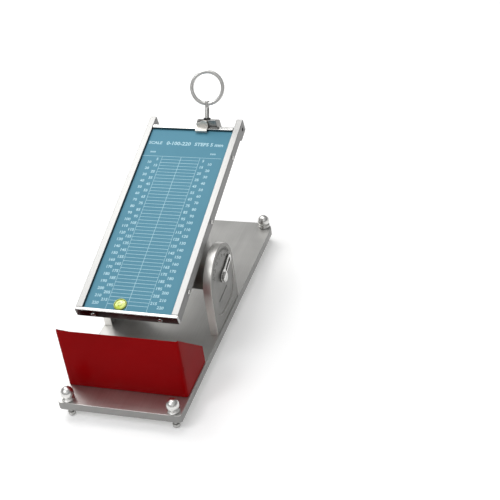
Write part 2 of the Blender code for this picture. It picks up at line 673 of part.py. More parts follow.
hub_corner = POINTER_HUB_RADIUS / 2
pointer_outline = rounded([
    (-POINTER_HUB_RADIUS, -POINTER_HUB_RADIUS, POINTER_HUB_RADIUS),
    (POINTER_HUB_RADIUS, -POINTER_HUB_RADIUS, hub_corner),
    (POINTER_HUB_RADIUS + POINTER_TAPER, -POINTER_HALF_WIDTH, 0),
    (POINTER_LENGTH - POINTER_TAPER, -POINTER_HALF_WIDTH, 0),
    (POINTER_LENGTH, 0, 0),
    (POINTER_LENGTH - POINTER_TAPER, POINTER_HALF_WIDTH, 0),
    (POINTER_HUB_RADIUS + POINTER_TAPER, POINTER_HALF_WIDTH, 0),
    (POINTER_HUB_RADIUS, POINTER_HUB_RADIUS, hub_corner),
    (-POINTER_HUB_RADIUS, POINTER_HUB_RADIUS, POINTER_HUB_RADIUS),
], step=math.radians(15))
pointer = add("angle_pointer", plate_mesh("angle_pointer", pointer_outline, POINTER_THICKNESS),
              STEEL, board, ((pointer_inner_x + pointer_outer_x) / 2, 0, 0), FLAT_SIDEWAYS)
cut(pointer, hole("pointer_hole", SHAFT_END_RADIUS + HOLE_CLEARANCE,
                  (pointer_inner_x - OVERSHOOT, 0, 0), 3 * OVERSHOOT, board, ACROSS))
slot_start = POINTER_HUB_RADIUS + POINTER_TAPER
slot_end = POINTER_LENGTH - 1.5 * POINTER_TAPER
slot_outline = rounded([
    (slot_start, -POINTER_SLOT_HALF_WIDTH, POINTER_SLOT_CORNER),
    (slot_end, -POINTER_SLOT_HALF_WIDTH, POINTER_SLOT_CORNER),
    (slot_end, POINTER_SLOT_HALF_WIDTH, POINTER_SLOT_CORNER),
    (slot_start, POINTER_SLOT_HALF_WIDTH, POINTER_SLOT_CORNER),
], step=math.radians(45))
cut(pointer, add("pointer_slot", plate_mesh("pointer_slot", slot_outline, 3 * OVERSHOOT), None,
                 board, (pointer_inner_x, 0, 0), FLAT_SIDEWAYS))
nut_height = side_limit - nut_inner_x
nut_profile = [
    (0, nut_height),
    (POINTER_NUT_RADIUS - POINTER_NUT_CHAMFER, nut_height),
    (POINTER_NUT_RADIUS, nut_height - POINTER_NUT_CHAMFER),
    (POINTER_NUT_RADIUS, 0),
    (SHAFT_END_RADIUS + HOLE_CLEARANCE, 0),
    (SHAFT_END_RADIUS + HOLE_CLEARANCE, nut_height - CAP_ROOF),
    (0, nut_height - CAP_ROOF),
]
spin(add("pointer_nut", turned_mesh("pointer_nut", nut_profile), STEEL, board,
         (nut_inner_x, 0, 0), ACROSS))

lock_height = SIDE_PROUD - GAP
lock_profile = [
    (0, lock_height),
    (LOCK_KNOB_RADIUS - LOCK_KNOB_CHAMFER, lock_height),
    (LOCK_KNOB_RADIUS, lock_height - LOCK_KNOB_CHAMFER),
    (LOCK_KNOB_RADIUS, 0),
    (SHAFT_RADIUS + HOLE_CLEARANCE, 0),
    (SHAFT_RADIUS + HOLE_CLEARANCE, lock_height - CAP_ROOF + GAP),
    (0, lock_height - CAP_ROOF + GAP),
]
lock_knob = spin(add("lock_knob", turned_mesh("lock_knob", lock_profile), DARK_STEEL, board,
                     (-BRACKET_OUTER_X - GAP, 0, 0), (0, -math.pi / 2, 0)), RING_STEPS)
for grip in range(LOCK_KNOB_GRIPS):
    turn = 2 * math.pi * (grip + 0.5) / LOCK_KNOB_GRIPS
    place = (-side_limit - OVERSHOOT, LOCK_KNOB_RADIUS * math.cos(turn),
             LOCK_KNOB_RADIUS * math.sin(turn))
    cut(lock_knob, hole("lock_grip_%02d" % grip, LOCK_GRIP_RADIUS, place,
                        SIDE_PROUD + 2 * OVERSHOOT, board, ACROSS, steps=8))


# ---- board: rails, bars and plates -------------------------------------------------------
rail_outline = rounded([
    (RAIL_LOW_END, BOARD_FACE - RAIL_DEPTH, 0),
    (BOARD_HIGH_END - RAIL_END_LENGTH, BOARD_FACE - RAIL_DEPTH, 0),
    (BOARD_HIGH_END - RAIL_END_LENGTH + RAIL_END_RAMP, BOARD_FACE - RAIL_END_DEPTH, 0),
    (BOARD_HIGH_END, BOARD_FACE - RAIL_END_DEPTH, RAIL_END_RADIUS),
    (BOARD_HIGH_END, BOARD_FACE, RAIL_END_RADIUS),
    (RAIL_LOW_END, BOARD_FACE, 0),
], step=math.radians(30))
rail_x = (BOARD_WIDTH - RAIL_WIDTH) / 2
side_screw_z = BACKING_BOTTOM + BACKING_THICKNESS / 2
backing_length = TOP_BAR_FRONT - GAP - RAIL_LOW_END
backing_middle = RAIL_LOW_END + backing_length / 2
backing_plate = add("backing_plate",
                    box_mesh("backing_plate", (INNER_WIDTH, backing_length, BACKING_THICKNESS)),
                    ALUMINIUM, board,
                    (0, backing_middle, (BACKING_TOP + BACKING_BOTTOM) / 2))
scale_plate = add("scale_plate",
                  box_mesh("scale_plate", (INNER_WIDTH, backing_length, SCALE_THICKNESS)),
                  BLUE_PRINT, board, (0, backing_middle, (SCALE_TOP + SCALE_BOTTOM) / 2))
rail_end_screw_z = BOARD_FACE - RAIL_END_SCREW_DEPTH
rail_end_screw_y = BOARD_HIGH_END - RAIL_END_SCREW_INSET
end_screw_reach = RAIL_END_SCREW_SINK + RAIL_END_SCREW_LENGTH
for name, side in SIDES:
    rail_name = "side_rail_" + name
    rail = add(rail_name, plate_mesh(rail_name, rail_outline, RAIL_WIDTH), PALE_ALUMINIUM,
               board, (side * rail_x, 0, 0), FLAT_SIDEWAYS)
    chamfer(rail, RAIL_CHAMFER)
    face_x = side * (BOARD_WIDTH / 2 + GAP)
    outward = (0, side * math.pi / 2, 0)
    for number in range(SIDE_SCREW_COUNT):
        place = (face_x, SIDE_SCREW_FIRST + number * SIDE_SCREW_PITCH, side_screw_z)
        drill = hole("side_screw_hole_%s_%d" % (name, number),
                     SCREW_SHANK_RADIUS + HOLE_CLEARANCE,
                     (face_x - side * (SIDE_SCREW_LENGTH + GAP), place[1], place[2]),
                     SIDE_SCREW_LENGTH + OVERSHOOT, board, outward, FASTENER_STEPS)
        cut(rail, drill)
        cut(backing_plate, drill)
        fastener("side_screw_%s_%d" % (name, number + 1), place, outward, board, STEEL,
                 SCREW_HEAD_RADIUS, SCREW_HEAD_HEIGHT, SCREW_SHANK_RADIUS, SIDE_SCREW_LENGTH)
    edge_x = side * BOARD_WIDTH / 2
    cut(rail, hole("rail_end_hole_" + name, RAIL_END_SCREW_RADIUS + HOLE_CLEARANCE,
                   (edge_x - side * (end_screw_reach + GAP), rail_end_screw_y,
                    rail_end_screw_z), end_screw_reach + OVERSHOOT, board, outward, FOOT_STEPS))
    end_screw_name = "rail_end_screw_" + name
    end_screw = add(end_screw_name,
                    rod_mesh(end_screw_name, RAIL_END_SCREW_RADIUS, RAIL_END_SCREW_LENGTH,
                             FOOT_STEPS),
                    DARK_STEEL, board,
                    (edge_x - side * end_screw_reach, rail_end_screw_y, rail_end_screw_z),
                    outward)
    cut(end_screw, hole("hex_socket_" + name, HEX_SOCKET_RADIUS,
                        (edge_x - side * (RAIL_END_SCREW_SINK + HEX_SOCKET_DEPTH),
                         rail_end_screw_y, rail_end_screw_z), 2 * OVERSHOOT, board, outward, 6))

bottom_bar = add("bottom_bar",
                 box_mesh("bottom_bar", (BOARD_WIDTH, BOTTOM_BAR_THICKNESS, BOTTOM_BAR_DEPTH)),
                 PALE_ALUMINIUM, board,
                 (0, BOARD_LOW_END + BOTTOM_BAR_THICKNESS / 2, BOARD_FACE - BOTTOM_BAR_DEPTH / 2))
chamfer(bottom_bar, RAIL_CHAMFER)
bar_screw_z = min(BAR_SCREW_HEIGHT, BACKING_TOP - SCREW_SHANK_RADIUS - 2 * HOLE_CLEARANCE)
for name, side in SIDES:
    place = (side * BAR_SCREW_SPREAD / 2, BOARD_LOW_END - GAP, bar_screw_z)
    drill = hole("bar_screw_hole_" + name, SCREW_SHANK_RADIUS + HOLE_CLEARANCE,
                 (place[0], place[1] + BAR_SCREW_LENGTH + GAP, place[2]),
                 BAR_SCREW_LENGTH + OVERSHOOT, board, (math.pi / 2, 0, 0), FASTENER_STEPS)
    cut(bottom_bar, drill)
    cut(backing_plate, drill)
    fastener("bottom_bar_screw_" + name, place, (math.pi / 2, 0, 0), board, STEEL,
             SCREW_HEAD_RADIUS, SCREW_HEAD_HEIGHT, SCREW_SHANK_RADIUS, BAR_SCREW_LENGTH)

top_bar = add("top_bar", box_mesh("top_bar", (INNER_WIDTH, TOP_BAR_THICKNESS, RAIL_DEPTH)),
              PALE_ALUMINIUM, board,
              (0, TOP_BAR_REAR - TOP_BAR_THICKNESS / 2, BOARD_FACE - RAIL_DEPTH / 2))
chamfer(top_bar, RAIL_CHAMFER)


# ---- board: lugs that carry it on the shaft ----------------------------------------------
lug_top = BACKING_BOTTOM - GAP
lug_outline = rounded([
    (-LUG_TOP_HALF_LENGTH, lug_top, 0),
    (-LUG_TOP_HALF_LENGTH, lug_top - LUG_EDGE_HEIGHT, LUG_CORNER_RADIUS),
    (-LUG_FOOT_RADIUS, -LUG_FOOT_RADIUS, LUG_FOOT_RADIUS * 0.8),
    (LUG_FOOT_RADIUS, -LUG_FOOT_RADIUS, LUG_FOOT_RADIUS * 0.8),
    (LUG_TOP_HALF_LENGTH, lug_top - LUG_EDGE_HEIGHT, LUG_CORNER_RADIUS),
    (LUG_TOP_HALF_LENGTH, lug_top, 0),
], step=math.radians(12))
for name, side in SIDES:
    lug_name = "pivot_lug_" + name
    lug_x = side * (LUG_OUTER_FACE - LUG_THICKNESS / 2)
    lug = add(lug_name, plate_mesh(lug_name, lug_outline, LUG_THICKNESS), ALUMINIUM, board,
              (lug_x, 0, 0), FLAT_SIDEWAYS)
    cut(lug, hole("lug_shaft_hole_" + name, SHAFT_RADIUS + HOLE_CLEARANCE,
                  (lug_x - LUG_THICKNESS, 0, 0), 2 * LUG_THICKNESS, board, ACROSS))
    for end_name, end in ENDS:
        tag = "%s_%s" % (end_name, name)
        place = (lug_x, end * LUG_SCREW_SPREAD / 2, BACKING_TOP - LUG_SCREW_HEAD_HEIGHT)
        drill = hole("lug_screw_hole_" + tag, SCREW_SHANK_RADIUS + HOLE_CLEARANCE,
                     (place[0], place[1], place[2] - LUG_SCREW_LENGTH - GAP),
                     LUG_SCREW_LENGTH + OVERSHOOT, board, steps=FASTENER_STEPS)
        recess = hole("lug_screw_recess_" + tag, SCREW_HEAD_RADIUS + HOLE_CLEARANCE,
                      (place[0], place[1], place[2] - GAP),
                      LUG_SCREW_HEAD_HEIGHT + OVERSHOOT, board, steps=FASTENER_STEPS)
        cut(lug, drill)
        cut(backing_plate, drill, recess)
        fastener("lug_screw_" + tag, place, (0, 0, 0), board, DARK_STEEL, SCREW_HEAD_RADIUS,
                 LUG_SCREW_HEAD_HEIGHT, SCREW_SHANK_RADIUS, LUG_SCREW_LENGTH)


# ---- board: bull's-eye level -------------------------------------------------------------
level_top = SCALE_TOP + LEVEL_PROUD
level_floor = LEVEL_BOTTOM + LEVEL_WALL
level_place = (LEVEL_X, LEVEL_Y, 0)
level_drill = hole("level_hole", LEVEL_RADIUS + GAP, (LEVEL_X, LEVEL_Y, LEVEL_BOTTOM - GAP),
                   level_top + OVERSHOOT - LEVEL_BOTTOM, board)
cut(scale_plate, level_drill)
cut(backing_plate, level_drill)
cup_profile = [
    (0, level_floor),
    (LEVEL_RADIUS - LEVEL_WALL, level_floor),
    (LEVEL_RADIUS - LEVEL_WALL, level_top),
    (LEVEL_RADIUS - LEVEL_CHAMFER, level_top),
    (LEVEL_RADIUS, level_top - LEVEL_CHAMFER),
    (LEVEL_RADIUS, LEVEL_BOTTOM),
    (0, LEVEL_BOTTOM),
]
spin(add("level_cup", turned_mesh("level_cup", cup_profile), LEVEL_CUP, board, level_place))
vial_radius = LEVEL_RADIUS - LEVEL_WALL - GAP
vial_profile = [
    (0, level_top + VIAL_DOME),
    (vial_radius * 0.6, level_top + VIAL_DOME / 2),
    (vial_radius, level_top - VIAL_DOME),
    (vial_radius, level_floor + GAP),
    (0, level_floor + GAP),
]
spin(add("level_vial", turned_mesh("level_vial", vial_profile), LEVEL_FLUID, board, level_place))


# ---- ring-screw clamp --------------------------------------------------------------------
lean_slope = math.tan(CLAMP_LEAN)


def top_face(y, drop=0.0):
    """Height of the block's leaning top face at y, or of a plane this far below it."""
    return SCREW_EXIT_Z - (y - SCREW_EXIT_Y) * lean_slope - drop / math.cos(CLAMP_LEAN)


block_back = BLOCK_FRONT + BLOCK_DEPTH
block_outline = [
    (BLOCK_FRONT, BLOCK_BOTTOM),
    (block_back, BLOCK_BOTTOM),
    (block_back, top_face(block_back)),
    (BLOCK_FRONT, top_face(BLOCK_FRONT)),
]
block = add("clamp_block", plate_mesh("clamp_block", block_outline, BLOCK_WIDTH),
            ALUMINIUM, board, (CLAMP_X, 0, 0), FLAT_SIDEWAYS)
shoulder_top = top_face(BLOCK_FRONT)


def shoulder_outline(left):
    """Prism above the block's sloping left shoulder, seen from the low end."""
    return [
        (left - OVERSHOOT, shoulder_top - BLOCK_SHOULDER_DROP
         - OVERSHOOT * BLOCK_SHOULDER_DROP / BLOCK_SHOULDER_WIDTH),
        (left + BLOCK_SHOULDER_WIDTH, shoulder_top),
        (left + BLOCK_SHOULDER_WIDTH, shoulder_top + 2 * OVERSHOOT),
        (left - OVERSHOOT, shoulder_top + 2 * OVERSHOOT),
    ]


FLAT_UPRIGHT = (math.pi / 2, 0, 0)      # outline X, Y -> along X, Z
shoulder_cut = add("shoulder_cut",
                   plate_mesh("shoulder_cut", shoulder_outline(BLOCK_LEFT), 8 * OVERSHOOT),
                   None, board, (0, BLOCK_FRONT, 0), FLAT_UPRIGHT)
cut(block, shoulder_cut)

jaw_under = BOARD_FACE + JAW_CLEARANCE
jaw_front = TOP_BAR_REAR - JAW_REACH
jaw_back = TOP_BAR_REAR
jaw_upright = jaw_back - JAW_STRIP
jaw_joint = jaw_back - JAW_STRIP / 2
arm_front = TOP_BAR_REAR + JAW_ARM_FRONT
arm_back = JAW_PIVOT_Y + JAW_ARM_END
pad_low_corner = top_face(SCREW_EXIT_Y, 0) - (PAD_DEPTH - GAP) * math.cos(CLAMP_LEAN)
pad_low_corner -= PAD_RADIUS * math.sin(CLAMP_LEAN)
arm_top = pad_low_corner - GAP
arm_bottom = JAW_PIVOT_Z - JAW_ARM_HALF
facet_high_y = TOP_BAR_REAR + JAW_FACET_FRONT
facet_low_y = SCREW_EXIT_Y - (arm_top - top_face(SCREW_EXIT_Y, PAD_DEPTH)) / lean_slope
jaw_plate = [
    (jaw_front, BOARD_FACE - JAW_LIP_DROP),
    (jaw_front + JAW_STRIP, BOARD_FACE - JAW_LIP_DROP),
    (jaw_front + JAW_STRIP, jaw_under),
    (jaw_back, jaw_under),
    (jaw_back, JAW_TOP),
    (jaw_upright, JAW_TOP),
    (jaw_upright, jaw_under + JAW_STRIP),
    (jaw_front, jaw_under + JAW_STRIP),
]
jaw_arm = [
    (jaw_joint, jaw_under + JAW_STRIP / 2),
    (arm_front, jaw_under + JAW_STRIP / 2),
    (arm_front, arm_bottom),
    (arm_back, arm_bottom),
    (arm_back, arm_top),
    (facet_low_y, arm_top),
    (facet_high_y, top_face(facet_high_y, PAD_DEPTH)),
    (jaw_joint, top_face(facet_high_y, PAD_DEPTH)),
]
arm_x = BLOCK_LEFT + JAW_WIDTH - JAW_ARM_WIDTH / 2
jaw_axis = empty("jaw_axis", board, (0, JAW_PIVOT_Y, JAW_PIVOT_Z))
jaw_shift = (JAW_CENTRE_X, -JAW_PIVOT_Y, -JAW_PIVOT_Z)
jaw = add("clamp_jaw", plate_mesh("clamp_jaw", jaw_plate, JAW_WIDTH), PALE_ALUMINIUM, jaw_axis,
          jaw_shift, FLAT_SIDEWAYS)
join(jaw, add("jaw_arm", plate_mesh("jaw_arm", jaw_arm, JAW_ARM_WIDTH), None, jaw_axis,
              (arm_x, -JAW_PIVOT_Y, -JAW_PIVOT_Z), FLAT_SIDEWAYS))
cut(jaw, shoulder_cut)
pin_bore = JAW_PIN_RADIUS + JAW_PIN_CLEARANCE
pin_length = BLOCK_WIDTH - 2 * JAW_PIN_SHORT
pin_drill = hole("jaw_pin_hole", pin_bore, (CLAMP_X - pin_length / 2 - GAP, 0, 0),
                 pin_length + 2 * GAP, jaw_axis, ACROSS, steps=PIN_STEPS)
cut(jaw, pin_drill)
add("jaw_pin", rod_mesh("jaw_pin", JAW_PIN_RADIUS, pin_length, PIN_STEPS), STEEL, jaw_axis,
    (CLAMP_X - pin_length / 2, 0, 0), ACROSS)

swing_back = BLOCK_FRONT + JAW_SWING_ROOM
swing_height = 4 * OVERSHOOT
swing_right = BLOCK_LEFT + JAW_WIDTH + 2 * GAP
swing_size = (JAW_WIDTH + 2 * GAP + OVERSHOOT, JAW_SWING_ROOM + OVERSHOOT, swing_height)
cut(block, add("jaw_swing_room", box_mesh("jaw_swing_room", swing_size), None, board,
               (swing_right - swing_size[0] / 2, swing_back - swing_size[1] / 2,
                BOARD_FACE + swing_height / 2)))
slot_floor = arm_bottom - JAW_SLOT_ROOM
slot_ceiling = arm_top + JAW_SLOT_ROOM
slot_back = arm_back + JAW_SLOT_ROOM
slope_shift = JAW_SLOT_ROOM
slot_slope_top = top_face(facet_high_y + slope_shift, PAD_DEPTH - PAD_LENGTH + GAP)
arm_slot = [
    (BLOCK_FRONT - OVERSHOOT, slot_floor),
    (slot_back, slot_floor),
    (slot_back, slot_ceiling),
    (facet_low_y + slope_shift, slot_ceiling),
    (facet_high_y + slope_shift, slot_slope_top),
    (BLOCK_FRONT - OVERSHOOT, slot_slope_top),
]
slot_mesh = plate_mesh("arm_slot", arm_slot, JAW_ARM_WIDTH + 2 * JAW_CLEARANCE)
cut(block, add("arm_slot", slot_mesh, None, board, (arm_x, 0, 0), FLAT_SIDEWAYS))
cut(block, pin_drill)

screw_axis = empty("ring_screw_axis", board, (CLAMP_X, SCREW_EXIT_Y, SCREW_EXIT_Z),
                   (-CLAMP_LEAN, 0, 0))
screw_bore = RING_SCREW_RADIUS + HOLE_CLEARANCE
cut(block, hole("ring_screw_hole", screw_bore, (0, 0, -PAD_DEPTH), PAD_DEPTH + OVERSHOOT,
                screw_axis))
pad_bottom = GAP - PAD_DEPTH
add("clamp_pad", rod_mesh("clamp_pad", PAD_RADIUS, PAD_LENGTH), BRONZE, screw_axis,
    (0, 0, pad_bottom))
screw_bush_profile = [
    (screw_bore, GAP),
    (screw_bore, GAP + SCREW_BUSH_HEIGHT),
    (SCREW_BUSH_RADIUS - SHANK_CHAMFER, GAP + SCREW_BUSH_HEIGHT),
    (SCREW_BUSH_RADIUS, GAP + SCREW_BUSH_HEIGHT - SHANK_CHAMFER),
    (SCREW_BUSH_RADIUS, GAP),
]
spin(add("screw_bush", turned_mesh("screw_bush", screw_bush_profile, closed=True), DARK_STEEL,
         screw_axis))
ring_inner_radius = RING_OUTER_RADIUS - RING_WALL
shank_start = pad_bottom + PAD_LENGTH + GAP
shank_end = RING_CENTRE_ABOVE_BLOCK - ring_inner_radius + SHANK_INSIDE_RING
shank_profile = [
    (0, shank_end),
    (RING_SCREW_RADIUS - SHANK_CHAMFER, shank_end),
    (RING_SCREW_RADIUS, shank_end - SHANK_CHAMFER),
    (RING_SCREW_RADIUS, shank_start + SHANK_CHAMFER),
    (RING_SCREW_RADIUS - SHANK_CHAMFER, shank_start),
    (0, shank_start),
]
spin(add("ring_screw", turned_mesh("ring_screw", shank_profile), STEEL, screw_axis))
ring_section = rounded([
    (ring_inner_radius, -RING_DEPTH / 2, RING_CORNER),
    (ring_inner_radius, RING_DEPTH / 2, RING_CORNER),
    (RING_OUTER_RADIUS, RING_DEPTH / 2, RING_CORNER),
    (RING_OUTER_RADIUS, -RING_DEPTH / 2, RING_CORNER),
], step=math.radians(45))
ring = spin(add("pull_ring", turned_mesh("pull_ring", ring_section, closed=True), STEEL,
                screw_axis, (0, 0, RING_CENTRE_ABOVE_BLOCK), (math.pi / 2, 0, RING_YAW)), RING_STEPS)
cut(ring, hole("ring_shank_hole", RING_SCREW_RADIUS + SHANK_FIT,
               (0, 0, RING_CENTRE_ABOVE_BLOCK - RING_OUTER_RADIUS - OVERSHOOT),
               RING_WALL + 2 * OVERSHOOT, screw_axis))

block_screw_length = TOP_BAR_THICKNESS + BLOCK_DEPTH - BLOCK_SCREW_SHORT
forwards = (-math.pi / 2, 0, 0)
for name, side in SIDES:
    place = (CLAMP_X + side * BLOCK_SCREW_SPREAD / 2, block_back + GAP,
             BLOCK_BOTTOM + BLOCK_SCREW_RISE)
    drill = hole("block_screw_hole_" + name, SCREW_SHANK_RADIUS + HOLE_CLEARANCE,
                 (place[0], block_back - block_screw_length, place[2]),
                 block_screw_length + OVERSHOOT, board, forwards, FASTENER_STEPS)
    cut(block, drill)
    cut(top_bar, drill)
    fastener("clamp_block_screw_" + name, place, forwards, board, STEEL, SCREW_HEAD_RADIUS,
             SCREW_HEAD_HEIGHT, SCREW_SHANK_RADIUS, block_screw_length - GAP)
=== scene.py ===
"""Looks of a rolling-ball tack tester: a tilting board with a printed scale, carried on two
brackets over a base plate with a red ball catcher.  Metres, +Z up, in the CAD model's frame.
"""

import json
import math

import bmesh
import bpy
from mathutils import Matrix, Vector


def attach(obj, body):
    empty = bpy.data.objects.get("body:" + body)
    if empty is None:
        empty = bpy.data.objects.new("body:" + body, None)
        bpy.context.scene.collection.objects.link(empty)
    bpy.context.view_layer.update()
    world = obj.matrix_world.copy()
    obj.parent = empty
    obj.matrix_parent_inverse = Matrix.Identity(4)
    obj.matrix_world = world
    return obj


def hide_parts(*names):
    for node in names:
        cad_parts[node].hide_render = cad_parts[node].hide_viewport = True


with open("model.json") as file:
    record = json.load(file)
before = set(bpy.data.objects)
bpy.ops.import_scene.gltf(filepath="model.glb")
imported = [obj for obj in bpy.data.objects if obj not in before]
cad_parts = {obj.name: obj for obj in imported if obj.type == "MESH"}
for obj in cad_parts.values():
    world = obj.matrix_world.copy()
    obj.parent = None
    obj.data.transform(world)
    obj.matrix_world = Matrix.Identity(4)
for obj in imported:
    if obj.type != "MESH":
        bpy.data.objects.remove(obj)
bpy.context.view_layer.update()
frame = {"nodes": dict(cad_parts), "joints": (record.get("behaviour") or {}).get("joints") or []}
MM = 0.001


# ---- Bench, light and camera -----------------------------------------------------------
# The tester stands on a pale matt sheet.  A wide soft lamp hangs high on the left behind it,
# one overhead and one front left are weaker, and the grey room has a bright window in front.
class Socket:
    """One output of a shader node, which takes part in sums as a number does."""

    def __init__(self, finish, output):
        self.finish = finish
        self.output = output

    def maths(self, operation, first, second):
        return self.finish.node("Math", {"operation": operation}, {0: first, 1: second})

    def __add__(self, other):
        return self.maths("ADD", self, other)

    def __sub__(self, other):
        return self.maths("SUBTRACT", self, other)

    def __rsub__(self, other):
        return self.maths("SUBTRACT", other, self)

    def __mul__(self, other):
        return self.maths("MULTIPLY", self, other)

    __radd__ = __add__
    __rmul__ = __mul__


class Finish:
    """The shader of a finish, and the nodes that feed it."""

    def __init__(self, name, sockets, tree=None):
        if tree is None:
            self.material = bpy.data.materials.new(name)
            self.material.use_nodes = True
            tree = self.material.node_tree
        self.tree = tree
        self.shader = tree.nodes.get("Principled BSDF") or tree.nodes["Background"]
        self.feed(self.shader, sockets)

    def feed(self, node, sockets):
        for name, value in sockets.items():
            if isinstance(value, Socket):
                self.tree.links.new(value.output, node.inputs[name])
            else:
                node.inputs[name].default_value = value

    def set(self, **sockets):
        """Feed the shader: Base_Color is its socket Base Color, and so on."""
        self.feed(self.shader, {name.replace("_", " "): v for name, v in sockets.items()})

    def node(self, kind, settings=(), sockets=(), out=0):
        """Add a node, with its settings first and then its sockets, and give one output."""
        made = self.tree.nodes.new("ShaderNode" + kind)
        for name, value in dict(settings).items():
            if name == "stops":
                for index, (place, colour) in enumerate(value):
                    stop = (made.color_ramp.elements[index] if index < 2
                            else made.color_ramp.elements.new(place))
                    stop.position = place
                    stop.color = (*colour, 1)
            else:
                setattr(made, name, value)
        self.feed(made, dict(sockets))
        return Socket(self, made.outputs[out])

    def mix(self, share, first, second):
        """A colour between two others."""
        colours = [c if isinstance(c, Socket) else (*c, 1) for c in (first, second)]
        return self.node("Mix", {"data_type": "RGBA"}, {0: share, 6: colours[0], 7: colours[1]}, 2)

    def noise(self, stretch, detail=3, rough=0.55):
        """Noise over the piece's own axes, with so many patches to the metre along each."""
        place = self.node("TexCoord", out="Object")
        place = self.node("Mapping", {}, {"Vector": place, "Scale": stretch})
        return self.node("TexNoise", {}, {"Vector": place, "Scale": 1.0, "Detail": detail,
                                          "Roughness": rough})

    def clipped(self, value, low, high, new_low=0.0, new_high=1.0):
        return self.node("MapRange", {"clamp": True}, {
            "Value": value, "From Min": low, "From Max": high,
            "To Min": new_low, "To Max": new_high})

    def bump(self, height, distance, strength=1.0):
        return self.node("Bump", {}, {"Height": height, "Distance": distance,
                                      "Strength": strength})


def link(thing):
    bpy.context.scene.collection.objects.link(thing)
    return thing


def soft_lamp(name, place, target, size, power, colour):
    lamp = bpy.data.lights.new(name, "AREA")
    lamp.shape = "DISK"
    lamp.size = size
    lamp.energy = power
    lamp.color = colour
    made = link(bpy.data.objects.new(name, lamp))
    made.location = place
    made.rotation_euler = (Vector(place) - Vector(target)).to_track_quat("Z", "Y").to_euler()


soft_lamp("key_lamp", (-0.9, 0.75, 1.55), (0, 0, 0.1), 1.1, 12, (1.0, 0.99, 0.97))
soft_lamp("top_lamp", (-0.15, 0.25, 1.7), (0, 0, 0.1), 1.0, 7, (1.0, 1.0, 1.0))
soft_lamp("fill_lamp", (-0.5, -0.95, 1.3), (0, 0, 0.1), 0.55, 5, (0.98, 0.99, 1.0))

room = bpy.data.worlds.new("pale_room")
bpy.context.scene.world = room
room.use_nodes = True
air = Finish("pale_room", {}, room.node_tree)
direction = air.node("TexCoord", out="Generated")
height = air.node("SeparateXYZ", {}, {0: direction}, 2)
front = air.clipped(air.node("SeparateXYZ", {}, {0: direction}, 1), -0.75, -0.15, 1, 0)
window = front * air.clipped(height, 0.12, 0.6) * 0.9
overhead = air.node("ValToRGB", {"stops": [
    (0.0, (0.62, 0.62, 0.62)), (0.08, (0.34, 0.34, 0.34)), (0.35, (0.20, 0.20, 0.205)),
    (0.60, (0.32, 0.32, 0.32)), (1.0, (0.62, 0.62, 0.62))]}, {0: height})
air.set(Color=air.mix(window, overhead, (1.0, 1.0, 1.0)), Strength=1.0)

paper_mesh = bpy.data.meshes.new("bench_sheet")
shape = bmesh.new()
bmesh.ops.create_grid(shape, x_segments=8, y_segments=8, size=4.0)
shape.to_mesh(paper_mesh)
shape.free()
bench = link(bpy.data.objects.new("bench_sheet", paper_mesh))
bench.location.z = -0.05 * MM
paper = Finish("pale_sheet", {"Base Color": (0.93, 0.93, 0.93, 1), "Roughness": 0.85,
                              "Specular IOR Level": 0.1, "Emission Strength": 0.2,
                              "Emission Color": (1, 1, 1, 1)})
paper_mesh.materials.append(paper.material)

AZIMUTH = math.radians(21.0)
ELEVATION = math.radians(34.14)
ROLL = math.radians(-8.11)
AIM = Vector((59.1, 123.95, 23.0)) * MM
back = Vector((math.sin(AZIMUTH) * math.cos(ELEVATION),
               -math.cos(AZIMUTH) * math.cos(ELEVATION), math.sin(ELEVATION)))
lens = bpy.data.cameras.new("camera")
lens.lens = 83.46
lens.sensor_width = 36
camera = link(bpy.data.objects.new("camera", lens))
camera.matrix_world = (Matrix.Translation(AIM + back * 1.4812)
                       @ back.to_track_quat("Z", "Y").to_matrix().to_4x4()
                       @ Matrix.Rotation(ROLL, 4, "Z"))
bpy.context.scene.camera = camera
bpy.context.scene.view_settings.view_transform = "Standard"


# ---- Base plate ------------------------------------------------------------------------
# A 10 mm plate of rolled aluminium, milled to size with small corners in front and wide ones
# behind.  Its rims are chamfered, and it is satin finished along its length.
def span(node, axes=Matrix()):
    """Lowest and highest corner of a CAD piece, along the given axes."""
    inverse = axes.inverted()
    points = [inverse @ vertex.co for vertex in frame["nodes"][node].data.vertices]
    low = Vector([min(p[i] for p in points) for i in range(3)])
    high = Vector([max(p[i] for p in points) for i in range(3)])
    return low, high


def rounded(corners, step=math.radians(6)):
    """Outline through (x, y, radius) corners, each turned into an arc of its radius."""
    points = []
    for index, (x, y, radius) in enumerate(corners):
        here = Vector((x, y))
        before = (Vector(corners[index - 1][:2]) - here).normalized()
        after = (Vector(corners[(index + 1) % len(corners)][:2]) - here).normalized()
        if radius == 0:
            points.append(here)
            continue
        half = before.angle(after) / 2
        centre = here + (before + after).normalized() * (radius / math.sin(half))
        start = here + before * (radius / math.tan(half)) - centre
        sweep = (math.pi - 2 * half) * (-1 if before.cross(after) > 0 else 1)
        pieces = max(1, round(abs(sweep) / step))
        points += [centre + Matrix.Rotation(sweep * place / pieces, 2) @ start
                   for place in range(pieces + 1)]
    return [p for i, p in enumerate(points) if (p - points[i - 1]).length > 1e-6]


def shrunk(outline, inset):
    """A closed outline moved inwards by inset all round."""
    points = []
    for index, here in enumerate(outline):
        along = (here - outline[index - 1]).normalized()
        onward = (outline[(index + 1) % len(outline)] - here).normalized()
        inward = Vector((-along.y - onward.y, along.x + onward.x))
        points.append(here + inward * inset / (1 + along.dot(onward)))
    return points


def oblong(low, high, front, rear=None, step=math.radians(6)):
    """Outline of a rectangle between two corners, its corners rounded in front and behind."""
    rear = front if rear is None else rear
    return rounded([(low[0], low[1], front), (high[0], low[1], front),
                    (high[0], high[1], rear), (low[0], high[1], rear)], step)


